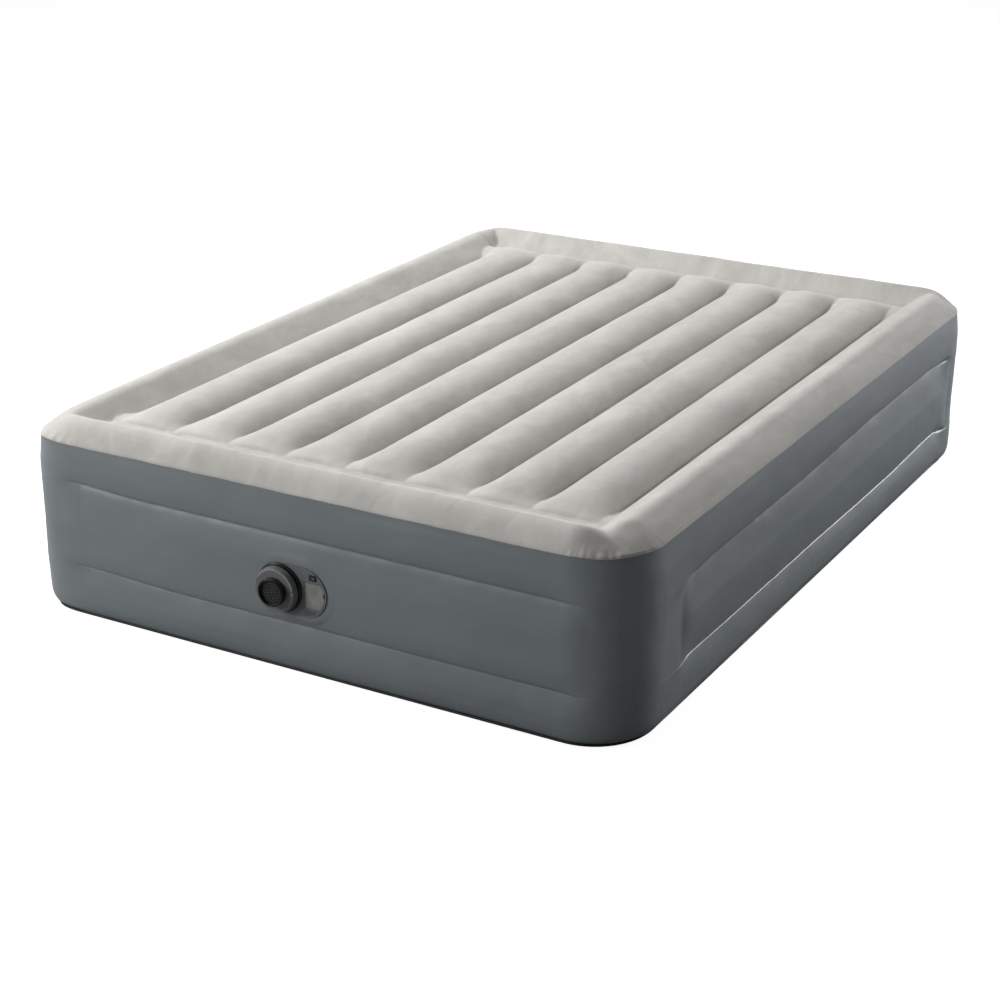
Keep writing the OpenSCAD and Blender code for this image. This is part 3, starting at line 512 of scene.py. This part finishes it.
def seam_lap(points, wave):
    """Points and faces of the sheet's free edge, which laps over the wall under the seam."""
    rows, columns = points.shape[:2]
    ring = outline_ring(rows, columns)
    edge = np.array([points[j, i] for j, i in ring])
    outward = edge[:, :2] - np.clip(edge[:, :2], (-CORE_X, -CORE_Y), (CORE_X, CORE_Y))
    outward /= np.linalg.norm(outward, axis=1, keepdims=True)
    length = np.cumsum(np.r_[0, np.linalg.norm(np.diff(edge, axis=0), axis=1)])
    ripple = 0.0007 * wave(length * 16, 1.5) + 0.0004 * wave(length * 60, 7.5)
    lap = []
    for share in np.linspace(0, 1, 4)[1:]:
        row = edge.copy()
        row[:, :2] += outward * (0.0022 + 0.4 * ripple[:, None]) * share
        row[:, 2] -= (0.0042 + ripple) * share
        lap.append(row)
    # The lap's edge turns in to the wall, so that it has a thickness.
    turned = lap[-1].copy()
    turned[:, :2] -= outward * 0.0034
    turned[:, 2] += 0.0004
    lap.append(turned)
    count = len(ring)
    ids = [np.array([j * columns + i for j, i in ring])]
    ids += [rows * columns + k * count + np.arange(count) for k in range(len(lap))]
    faces = [np.stack([a, b, np.roll(b, -1), np.roll(a, -1)], axis=-1) for a, b in zip(ids[:-1], ids[1:])]
    return np.concatenate(lap), np.concatenate(faces)


def make_top():
    border_steps = 34
    across, along = top_positions()
    place_x, beyond_x, step_x = top_axis(CORE_X, across, border_steps)
    place_y, beyond_y, step_y = top_axis(CORE_Y, along, border_steps)
    gx, gy = np.meshgrid(place_x, place_y)
    out_x, out_y = np.meshgrid(np.abs(beyond_x), np.abs(beyond_y))
    nx, ny = np.meshgrid(np.abs(step_x), np.abs(step_y))
    sx, sy = np.meshgrid(np.sign(beyond_x), np.sign(beyond_y))
    reach = np.where(nx > ny, out_x, out_y)
    in_corner = (nx > 0) & (ny > 0)
    angle = np.where(nx >= ny, 45 * ny / np.maximum(nx, 1e-9), 90 - 45 * nx / np.maximum(ny, 1e-9))
    angle = np.radians(np.where(in_corner, angle, 0))
    scale = corner_reach(angle, corner_power(gx, gy))
    dx = np.where(in_corner, reach * scale * np.cos(angle), np.where(nx > 0, reach, 0))
    dy = np.where(in_corner, reach * scale * np.sin(angle), np.where(ny > 0, reach, 0))
    x, y = gx + sx * dx, gy + sy * dy

    inset_x, inset_y = BORDER - dx, BORDER - dy
    inset_out = BORDER - reach
    wave = Noise(3)
    # The end borders' crest wanders a little, as the beams pull on it.
    wander = 0.0050 * wave(x * 4.2, 2.5 + sy * 3) + 0.0016 * np.cos(2 * math.pi * x / PITCH)
    wander = wander * smooth(inset_y, 0.012, 0.05) * (1 - smooth(inset_y, 0.09, 0.15))
    inset_y = np.where(ny > 0, inset_y + wander, inset_y)
    diagonal = np.sin(2 * angle) ** 2 * np.where(gx < 0, 0.4, 1.0)
    diagonal = np.where(in_corner & (gy < 0), diagonal, 0)
    z_border = border_height(gx, inset_x, inset_y, inset_out, diagonal)
    # A long border starts in its groove, which rises at its ends, as the others do.
    beside = side_border(inset_x, gx)
    beside = np.where(inset_x > SIDE_CREST, soft_max(groove_height(y), beside, 0.003), beside)
    z_border = np.where((ny == 0) & (nx > 0), beside, z_border)
    z = np.where((nx == 0) & (ny == 0), core_height(gx, gy), z_border)
    z -= fold(x, y, -1, 1, 14, 0.125, 0.014, 0.007)
    z -= fold(x, y, 1, 1, 40, 0.100, 0.012, 0.002)

    # Slack in the sheet, and puckers where the seam turns a corner.
    z += 0.0008 * wave(x * 7, y * 3.2) + 0.0005 * wave(x * 19 + 5, y * 11)
    z += 0.00025 * wave(x * 47, y * 31, 4)
    theta = np.arctan2(dy, np.maximum(dx, 1e-9))
    near_seam = smooth(reach, 0.132, BORDER - SEAM_INSET)
    corner_share = np.where(in_corner, np.sin(2 * np.clip(theta, 0, math.pi / 2)) ** 0.5, 0)
    arc = theta * BORDER
    gather = wave(arc * 75 + 11 * sx, 3 * sy + reach * 9, 2.5) + 0.5 * wave(arc * 190, reach * 18, 8 + sx)
    lift = gather * near_seam * corner_share * 0.0016
    z += lift * 0.8
    x += sx * lift * np.cos(theta)
    y += sy * lift * np.sin(theta)

    points = np.stack([x, y, z], axis=-1)
    lap_points, lap_faces = seam_lap(points, wave)
    obj = mesh_piece(
        "flocked_sheet",
        np.concatenate([points.reshape(-1, 3), lap_points]),
        np.concatenate([grid_faces(*z.shape), lap_faces]),
    )
    dress(obj, looks["flocked_top"])
    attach(obj, "bed")
    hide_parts("top_sheet")


make_top()

# ---------------------------------------------------------------- side wall

SIDES = ("pump_end", "right", "far_end", "left")
# Each band of the wall bulges between its creases: the distance in from the widest outline, by the share of
# the height from one crease to the next. At the two ends the middle band is flatter than at the long sides.
LOW_BAND = Profile(
    (0.0, 0.0165), (0.02, 0.0130), (0.06, 0.0095), (0.14, 0.0062), (0.30, 0.0028), (0.50, 0.0018),
    (0.68, 0.0036), (0.86, 0.0078), (1.0, 0.0122),
)
END_BAND = Profile(
    (0.0, 0.0140), (0.02, 0.0096), (0.06, 0.0062), (0.12, 0.0036), (0.24, 0.0012), (0.62, 0.0002),
    (0.76, 0.0014), (0.88, 0.0048), (0.95, 0.0082), (1.0, 0.0120),
)
LONG_BAND = Profile(
    (0.0, 0.0150), (0.03, 0.0114), (0.10, 0.0076), (0.24, 0.0032), (0.45, 0.0004), (0.55, 0.0002),
    (0.68, 0.0030), (0.84, 0.0070), (0.95, 0.0110), (1.0, 0.0135),
)
TOP_BAND = Profile(
    (0.0, 0.0135), (0.03, 0.0098), (0.08, 0.0070), (0.20, 0.0042), (0.38, 0.0024), (0.70, 0.0040),
    (1.0, 0.0085),
)
# In the corners, where there are no creases, the wall is even.
EVEN_LOW = Profile(
    (0.0, 0.0165), (0.02, 0.0125), (0.06, 0.0078), (0.13, 0.0048), (0.30, 0.0032), (1.0, 0.0018),
)
EVEN_TOP = Profile((0.0, 0.0012), (0.45, 0.0020), (0.70, 0.0044), (1.0, 0.0085))
# Heights of the long sides' creases along Y.
SIDE_UPPER_CREASE = Profile(
    (-1.0, 0.2860), (-0.74, 0.2890), (-0.58, 0.2945), (-0.14, 0.2960), (0.38, 0.3060), (0.75, 0.3055),
    (0.86, 0.2985), (1.0, 0.2970),
)
SIDE_LOWER_CREASE = Profile(
    (-1.0, 0.1100), (-0.71, 0.1100), (-0.14, 0.1075), (0.42, 0.1030), (0.70, 0.1070), (0.80, 0.1090),
    (0.88, 0.1000), (1.0, 0.0990),
)
CREASE_HELD = 0.07  # how far past the straight part of a side its creases keep their heights
CORNER_PARTS = 36


def side_half(k):
    """Half the straight length of side k."""
    return CORE_X if k % 2 == 0 else CORE_Y


def side_frame(k):
    """Directions along side k and out from it."""
    a = math.radians(90 * k)
    return np.array([math.cos(a), math.sin(a)]), np.array([math.sin(a), -math.cos(a)])


def wall_stations():
    """Points round the bed.

    Each has its core point, outward direction, reach, side, distance along it and turn in a corner.
    """
    rows = []
    signs = ((1, -1), (1, 1), (-1, 1), (-1, -1))
    for k in range(4):
        half, out = side_half(k), side_half(k + 1)
        d, n = side_frame(k)
        if k == 0:
            left, right = PUMP_X - 0.085, PUMP_X + FACE_SPAN + 0.085
            s = np.concatenate([
                np.linspace(-half, left, 60)[:-1],
                np.linspace(left, right, 61)[:-1],
                np.linspace(right, half, 80),
            ])
        else:
            s = np.linspace(-half, half, 130 if k == 2 else 210)
        for v in s:
            rows.append((*(d * v + n * out), *n, 1.0, k, v, 0.0))
        corner = d * half + n * out
        for j in range(1, CORNER_PARTS):
            turn = 90 * j / CORNER_PARTS
            a = math.radians(90 * k - 90 + turn)
            scale = corner_reach(np.array(math.radians(turn)), CORNER_POWER[signs[k]])
            rows.append((*corner, math.cos(a), math.sin(a), float(scale), k, half, turn))
    return np.array(rows)


def upper_crease(k, s):
    """Height of the upper crease on side k, at a distance s along it."""
    if k == 0:
        return 0.3125 + 0.010 * (1 - smooth(s, -0.70, -0.40)) - 0.003 * s
    if k == 2:
        return 0.322 + 0.012 * s
    return SIDE_UPPER_CREASE(s if k == 1 else -s)


def lower_crease(k, s):
    """Height of the lower crease on side k, at a distance s along it."""
    if k % 2 == 0:
        return 0.112 + 0.010 * (1 - smooth(s if k == 0 else -s, -0.68, -0.30))
    return SIDE_LOWER_CREASE(s if k == 1 else -s)


def side_limits(k, end_low, end_high, long_low, long_high):
    """Two places along side k, given for an end and for the right side and mirrored for the left one."""
    half = side_half(k)
    if k % 2 == 0:
        return -half + end_low, half + end_high
    low, high = -half + long_low, half + long_high
    return (low, high) if k == 1 else (-high, -low)


def crease_share(k, s):
    """How deep the creases are: full along a side and gone in the corners."""
    low, high = side_limits(k, -0.070, 0.072, 0.070, 0.045)
    return smooth(s, low, low + 0.085) * (1 - smooth(s, high - 0.085, high))


def crease_lines(side, turn, k_of, s_of):
    """How deep the creases are, and the heights of the upper and the lower one, round the bed."""
    share, upper, lower = np.zeros((3, len(side)))
    for k in range(4):
        m = k_of == k
        half = side_half(k)
        share[m] = crease_share(k, s_of[m])
        held = np.clip(s_of[m], -half - CREASE_HELD, half + CREASE_HELD)
        upper[m] = upper_crease(k, held)
        lower[m] = lower_crease(k, held)
    # Past the creases' ends the rows blend from one side's height to the next.
    for k in range(4):
        corner = (side == k) & (turn > 0)
        following = (k + 1) % 4
        last, first = side_half(k) + CREASE_HELD, -side_half(following) - CREASE_HELD
        blend = smooth(turn[corner], 25, 65)
        for line, rule in ((upper, upper_crease), (lower, lower_crease)):
            a, b = rule(k, last), rule(following, first)
            line[corner] = np.where(turn[corner] < 25, line[corner], a + (b - a) * blend)
    return share, upper, lower


def wall_rows(k_of, lower, upper, share):
    """Heights of the wall's rows of points, and how far in they stand from the widest outline."""
    low_t = np.concatenate([[0, 0.012, 0.03, 0.055], np.linspace(0.085, 0.36, 10), spaced(0.40, 1, 26, 0.5)])
    mid_t = spaced(0, 1, 60, 0.75)[1:]
    top_t = spaced(0, 1, 34, 0.55)[1:]
    seam = SEAM_Z - 0.0006
    foot = 0.0064
    n = len(k_of)
    z = np.concatenate([
        [foot + (lower - foot) * f for f in low_t],
        [lower + (upper - lower) * f for f in mid_t],
        [upper + (seam - upper) * f for f in top_t],
    ])
    even = np.concatenate([
        [np.full(n, EVEN_LOW(f)) for f in low_t],
        [np.full(n, 0.0018 - 0.0006 * f) for f in mid_t],
        [np.full(n, EVEN_TOP(f)) for f in top_t],
    ])
    creased = np.concatenate([
        [np.full(n, LOW_BAND(f)) for f in low_t],
        [np.where(k_of % 2 == 0, END_BAND(f), LONG_BAND(f)) for f in mid_t],
        [np.full(n, TOP_BAND(f)) for f in top_t],
    ])
    return z, even + (creased - even) * share


def crease_ends(k_of, s_grid, z, lower, upper):
    """How much further in the wall stands where its creases end."""
    inset = np.zeros(z.shape)
    mid = np.clip((z - lower) / (upper - lower), 0, 1)
    for k in range(4):
        m = (k_of == k)[None, :]
        # Between the creases the middle band starts like the end of a pillow.
        low, high = side_limits(k, -0.055, 0.055, 0.092, 0.035)
        for place, towards in ((low, 1), (high, -1)):
            d = (s_grid - place) * towards
            dip = np.where(d > 0, np.exp(-d / 0.020), np.exp(d / 0.055)) * np.sin(np.pi * mid) ** 0.5
            inset = inset + 0.0060 * dip * m * (1.0 if k % 2 else 0.3)
        # Each crease of a long side ends in a small pucker.
        if k % 2:
            place = CORE_Y + 0.004 if k == 1 else -CORE_Y - 0.004
            for line in (upper, lower):
                d = np.hypot((s_grid - place) / 0.020, (z - line - 0.004) / 0.0045)
                inset = inset + 0.0040 * np.exp(-(d**2)) * m
    return inset


def wall_slack(st, s_grid, z, lower, upper, share):
    """Small unevenness of the wall, as a distance in."""
    side, along, turn = st[:, 5].astype(int), st[:, 6], st[:, 7]
    half = np.where(side % 2 == 0, CORE_X, CORE_Y)
    wave = Noise(9)
    slack = 0.0010 * wave(s_grid * 4 + 3 * side, z * 8) + 0.0005 * wave(s_grid * 15, z * 26 + 3)
    slack = slack + 0.0002 * wave(s_grid * 60, z * 60 + 3, 6)
    # The weld line of a crease isn't drawn with a ruler.
    for line in (lower, upper):
        tug = wave(s_grid * 34, 2.0 + line * 9) * np.exp(-np.abs(z - line) / 0.008)
        slack = slack + 0.0007 * tug * share
    # Under the seam, the wall gathers where it turns a corner.
    in_corner = np.where(turn > 0, 1.0, np.exp(-(half - np.abs(along)) / 0.03))
    gather = wave(s_grid * 80 + 7, z * 7, 4.5) * np.exp(-(SEAM_Z - z) / 0.014)
    slack = slack + gather * 0.0012 * in_corner
    return slack * (1 - 0.8 * smooth(z, SEAM_Z - 0.030, SEAM_Z - 0.006))


def cut_pump_opening(points, faces):
    """Drop the faces inside the pump's opening and draw the edge of the rest onto its outline."""
    u, v = points[:, 0] - PUMP_X, points[:, 2] - PUMP_Z
    on_axis = np.clip(u, 0, FACE_SPAN)
    d = np.hypot(u - on_axis, v)
    front = points[:, 1] < -HALF_L + 0.02
    inside = (d < WALL_HOLE_R) & front
    faces = faces[inside[faces].sum(axis=1) < 2]
    used = np.zeros(len(points), bool)
    used[faces.ravel()] = True
    count = np.zeros(len(points), int)
    np.add.at(count, faces.ravel(), 1)
    rim = used & front & (count < 4) & (d < WALL_HOLE_R + 0.012) & (np.abs(v) < 0.07)
    fit = WALL_HOLE_R / np.maximum(d[rim], 1e-9)
    points[rim, 0] = PUMP_X + on_axis[rim] + (u[rim] - on_axis[rim]) * fit
    points[rim, 2] = PUMP_Z + v[rim] * fit
    new_id = -np.ones(len(points), int)
    new_id[used] = np.arange(used.sum())
    return points[used], new_id[faces]


def make_wall():
    st = wall_stations()
    core, out, scale = st[:, 0:2], st[:, 2:4], st[:, 4]
    side, along, turn = st[:, 5].astype(int), st[:, 6], st[:, 7]
    # Each corner belongs to the side before it up to its middle, and then to the next.
    second = turn > 45
    k_of = np.where(second, (side + 1) % 4, side)
    arc = np.radians(turn) * BORDER
    half_of = np.where(k_of % 2 == 0, CORE_X, CORE_Y)
    s_of = np.where(second, -(half_of + (np.pi / 2 * BORDER - arc)), along + arc)
    share, upper, lower = crease_lines(side, turn, k_of, s_of)
    z, inset = wall_rows(k_of, lower, upper, share)
    s_grid = np.broadcast_to(s_of, z.shape)
    inset = inset + crease_ends(k_of, s_grid, z, lower, upper)
    inset = inset + wall_slack(st, s_grid, z, lower, upper, share)
    # The wall is flat round the pump.
    x_at, y_at = (core + out * BORDER).T
    beside_face = np.maximum(np.abs(x_at - (PUMP_X + FACE_SPAN / 2)) - FACE_SPAN / 2, 0)
    near_pump = np.hypot(beside_face, z - PUMP_Z)
    inset = inset * np.where(y_at < -HALF_L + 0.01, smooth(near_pump, 0.062, 0.080), 1)
    # At its top the wall slips behind the lap of the top sheet.
    inset = inset + 0.0026 * smooth(z, SEAM_Z - 0.0038, SEAM_Z - 0.0012)
    inset = inset + BASE_FURTHER_IN * out[:, 0] ** 2 * (1 - smooth(z, 0.0, 0.040))
    reach = BORDER * scale - inset
    points = np.stack([core[:, 0] + out[:, 0] * reach, core[:, 1] + out[:, 1] * reach, z], axis=-1)
    # Under the foot the wall turns in to its weld with the bottom sheet.
    under = [
        np.column_stack([core + out * (BORDER * scale - inset)[:, None], np.full(len(st), height)])
        for inset, height in ((0.046, 0.0009), (0.0265, 0.0050))
    ]
    points = np.concatenate([under, points])
    faces = grid_faces(len(points), len(st), wrap=True)
    obj = mesh_piece("vinyl_wall", *cut_pump_opening(points.reshape(-1, 3), faces))
    dress(obj, looks["wall_vinyl"])
    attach(obj, "bed")
    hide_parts("side_wall", "pump_panel")


make_wall()

# ---------------------------------------------------------------- bottom sheet


def make_base():
    st = wall_stations()[::2]
    core, out, scale = st[:, 0:2], st[:, 2:4], st[:, 4]
    n = len(st)
    wave = Noise(21)
    # The welt at the sheet's edge, which stands out from under the wall: its near-black band is the seam
    # welt and also painted shade for the gap under the wall's foot.
    welt = (
        (0.0225, 0.0058), (0.0165, 0.0062), (0.0142, 0.0052), (0.0136, 0.0030), (0.0150, 0.0006),
        (0.0230, 0.0), (0.060, 0.0006),
    )
    rings = []
    for inset, z in welt:
        reach = BORDER * scale - inset - BASE_FURTHER_IN * out[:, 0] ** 2
        rings.append(np.column_stack([core + out * reach[:, None], np.full(n, z)]))
    # From there to the middle, shallow dimples keep the sheet from looking ruled.
    edge = rings[-1]
    for share in (0.9, 0.75, 0.6, 0.45, 0.3, 0.15):
        p = edge.copy()
        p[:, :2] *= share
        p[:, 2] = 0.0006 + 0.0005 * np.abs(wave(p[:, 0] * 14, p[:, 1] * 14))
        rings.append(p)
    points = np.concatenate(rings + [np.array([[0, 0, 0.0008]])])
    faces = [tuple(f[::-1]) for f in grid_faces(len(rings), n, wrap=True)]
    last = (len(rings) - 1) * n
    faces += [(last + (i + 1) % n, last + i, len(points) - 1) for i in range(n)]
    obj = mesh_piece("base_sheet", points, faces)
    dress(obj, looks["base_vinyl"])
    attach(obj, "bed")
    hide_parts("bottom_sheet")


make_base()

# ---------------------------------------------------------------- inner webs and bands


def make_web(i, wave):
    """The fibre web under groove i, bowed a little between the bottom sheet and the groove."""
    name = f"fibre_panel_{i + 1}"
    low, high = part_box(name)
    half = high.y
    columns, rows = 72, 15
    foot = 0.0009
    y = np.linspace(-half, half, columns)
    top = GROOVE_Z - 0.0012 + 0.006 * smooth(np.abs(y), half - 0.10, half)
    gy, gt = np.meshgrid(y, np.linspace(0, 1, rows))
    gz = foot + gt * (top - foot)
    gx = (low.x + high.x) / 2 + 0.0022 * wave(gy * 5 + i, gt * 2.5) * np.sin(np.pi * gt)
    points = np.stack([gx, gy, gz], axis=-1).reshape(-1, 3)
    obj = mesh_piece(f"fibre_web_{i + 1}", points, grid_faces(rows, columns))
    dress(obj, looks["fibre_web"])
    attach(obj, "bed")
    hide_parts(name)


def make_band(k, side, level, wave):
    """A tie band behind a crease of side k."""
    name = f"tie_band_{side}_{level}"
    low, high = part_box(name)
    d, n = side_frame(k)
    spans = ((low.x, high.x), (low.y, high.y))
    along, across = spans if k % 2 == 0 else spans[::-1]
    reach = (along[1] - along[0]) / 2
    inner, outer = sorted(abs(v) for v in across)
    columns, rows = 60, 10
    w = np.linspace(inner + 0.001, outer - 0.001, rows)
    gs, gw = np.meshgrid(np.linspace(-reach, reach, columns), w)
    if level == "lower":
        z = 0.121
    elif k == 0:
        z = 0.314 - 0.0066 * gs
    else:
        z = (low.z + high.z) / 2
    t = (gw - w[0]) / (w[-1] - w[0])
    z = z + 0.0016 * wave(gs * 7 + k, t * 2, 5.0) * np.sin(np.pi * t)
    xy = gs[..., None] * d + gw[..., None] * n
    points = np.concatenate([xy, z[..., None]], axis=-1).reshape(-1, 3)
    obj = mesh_piece(f"band_{side}_{level}", points, grid_faces(rows, columns))
    dress(obj, looks["tie_vinyl"])
    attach(obj, "bed")
    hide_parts(name)


def make_sheets_inside():
    wave = Noise(33)
    for i in range(BEAMS + 1):
        make_web(i, wave)
    for k, side in enumerate(SIDES):
        for level in ("lower", "upper"):
            make_band(k, side, level, wave)


make_sheets_inside()

# ---------------------------------------------------------------- leads


def at_pump(u, v, w):
    """A point in the pump's own frame, in mm, as a place in metres."""
    return Vector((PUMP_X + u / 1000, -HALF_L - w / 1000, PUMP_Z + v / 1000))


def lead(name, node, ends, guides, colour):
    """A wire between two places, pulled towards a guide at each end."""
    curve = bpy.data.curves.new(name, "CURVE")
    curve.dimensions = "3D"
    curve.bevel_depth = 0.0010
    curve.bevel_resolution = 3
    curve.use_fill_caps = True
    spline = curve.splines.new("BEZIER")
    spline.bezier_points.add(1)
    spline.resolution_u = 24
    for point, place, guide in zip(spline.bezier_points, ends, guides):
        point.handle_left_type = point.handle_right_type = "FREE"
        point.co = at_pump(*place)
        point.handle_right = at_pump(*guide)
        point.handle_left = at_pump(*guide)
    obj = bpy.data.objects.new(name, curve)
    scene.collection.objects.link(obj)
    curve.materials.append(colour)
    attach(obj, "bed")
    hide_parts(node)


blue = plastic("wire_blue", (0.02, 0.035, 0.16), (0.03, 0.05, 0.22), (0.35, 0.5))
lead(
    "motor_lead", "motor_leads", [(80, 38, -22.3), (19.3, 4, -122.4)],
    [(80, 38, -153.4), (79.3, 10, -118.4)], looks["wire_insulation"],
)
lead(
    "supply_lead", "supply_leads", [(84, -8, -53.2), (88, 38, -22.3)],
    [(84, 0, -85.2), (88, 38, -80.3)], blue,
)

# ---------------------------------------------------------------- moulded parts


def soften(name, width):
    """A moulding radius on a CAD part, by a modifier."""
    m = nodes[name].modifiers.new("moulding_radius", "BEVEL")
    m.width = width
    m.segments = 2
    m.limit_method = "ANGLE"
    m.angle_limit = math.radians(35)
    m.harden_normals = False


for name, width in (
    ("dial_bezel", 0.0007), ("dial", 0.0006), ("dial_grip", 0.0005), ("faceplate", 0.0005),
    ("bay_lid", 0.0004), ("switch_body", 0.0004), ("switch_rocker", 0.0004),
):
    soften(name, width)

# ---------------------------------------------------------------- floor, light

FLOOR_SIZE = 60
FLOOR_GLOW = 0.92  # what the camera sees, so that the floor is as white as the photograph's
FLOOR_SHADE = 0.36  # how plainly shadows show on it
FLOOR_BOUNCE = 0.24  # its gray for all light that doesn't go to the camera
WORLD_LIGHT = 0.10


def add_floor():
    mesh = bpy.data.meshes.new("floor")
    far = FLOOR_SIZE / 2
    mesh.from_pydata([(-far, -far, 0), (far, -far, 0), (far, far, 0), (-far, far, 0)], [], [(0, 1, 2, 3)])
    floor = bpy.data.objects.new("floor", mesh)
    scene.collection.objects.link(floor)
    material = bpy.data.materials.new("pale_floor")
    material.use_nodes = True
    tree = material.node_tree
    tree.nodes.clear()
    out = tree.nodes.new("ShaderNodeOutputMaterial")
    seen = tree.nodes.new("ShaderNodeAddShader")
    glow = tree.nodes.new("ShaderNodeEmission")
    glow.inputs["Strength"].default_value = FLOOR_GLOW
    faint = tree.nodes.new("ShaderNodeBsdfDiffuse")
    faint.inputs["Color"].default_value = (FLOOR_SHADE, FLOOR_SHADE, FLOOR_SHADE, 1)
    tree.links.new(glow.outputs[0], seen.inputs[0])
    tree.links.new(faint.outputs[0], seen.inputs[1])
    plain = tree.nodes.new("ShaderNodeBsdfDiffuse")
    plain.inputs["Color"].default_value = (FLOOR_BOUNCE, FLOOR_BOUNCE, FLOOR_BOUNCE, 1)
    path = tree.nodes.new("ShaderNodeLightPath")
    mixed = tree.nodes.new("ShaderNodeMixShader")
    tree.links.new(path.outputs["Is Camera Ray"], mixed.inputs[0])
    tree.links.new(plain.outputs[0], mixed.inputs[1])
    tree.links.new(seen.outputs[0], mixed.inputs[2])
    tree.links.new(mixed.outputs[0], out.inputs["Surface"])
    mesh.materials.append(material)


def add_world():
    world = bpy.data.worlds.new("studio")
    scene.world = world
    world.use_nodes = True
    tree = world.node_tree
    back = tree.nodes["Background"]
    path = tree.nodes.new("ShaderNodeLightPath")
    strength = tree.nodes.new("ShaderNodeMapRange")
    strength.inputs["To Min"].default_value = WORLD_LIGHT
    strength.inputs["To Max"].default_value = 1.0
    tree.links.new(path.outputs["Is Camera Ray"], strength.inputs["Value"])
    tree.links.new(strength.outputs[0], back.inputs["Strength"])
    back.inputs["Color"].default_value = (1, 1, 1, 1)


def softbox(name, place, target, width, height, power):
    """A soft area light at a place, turned towards a target."""
    data = bpy.data.lights.new(name, "AREA")
    data.shape = "RECTANGLE"
    data.size, data.size_y = width, height
    data.energy = power
    light = bpy.data.objects.new(name, data)
    light.location = place
    light.rotation_euler = (Vector(place) - Vector(target)).to_track_quat("Z", "Y").to_euler()
    light.visible_camera = False
    scene.collection.objects.link(light)


add_floor()
add_world()
softbox("key", (-4.7, 0.2, 4.5), (0, 0, 0.4), 3.0, 3.0, 440)
softbox("front_left", (-2.8, -3.9, 2.0), (-0.2, -1.0, 0.25), 2.0, 1.6, 72)
softbox("right_rear", (3.5, 5.8, 1.7), (0.76, 0.2, 0.25), 2.8, 2.2, 275)
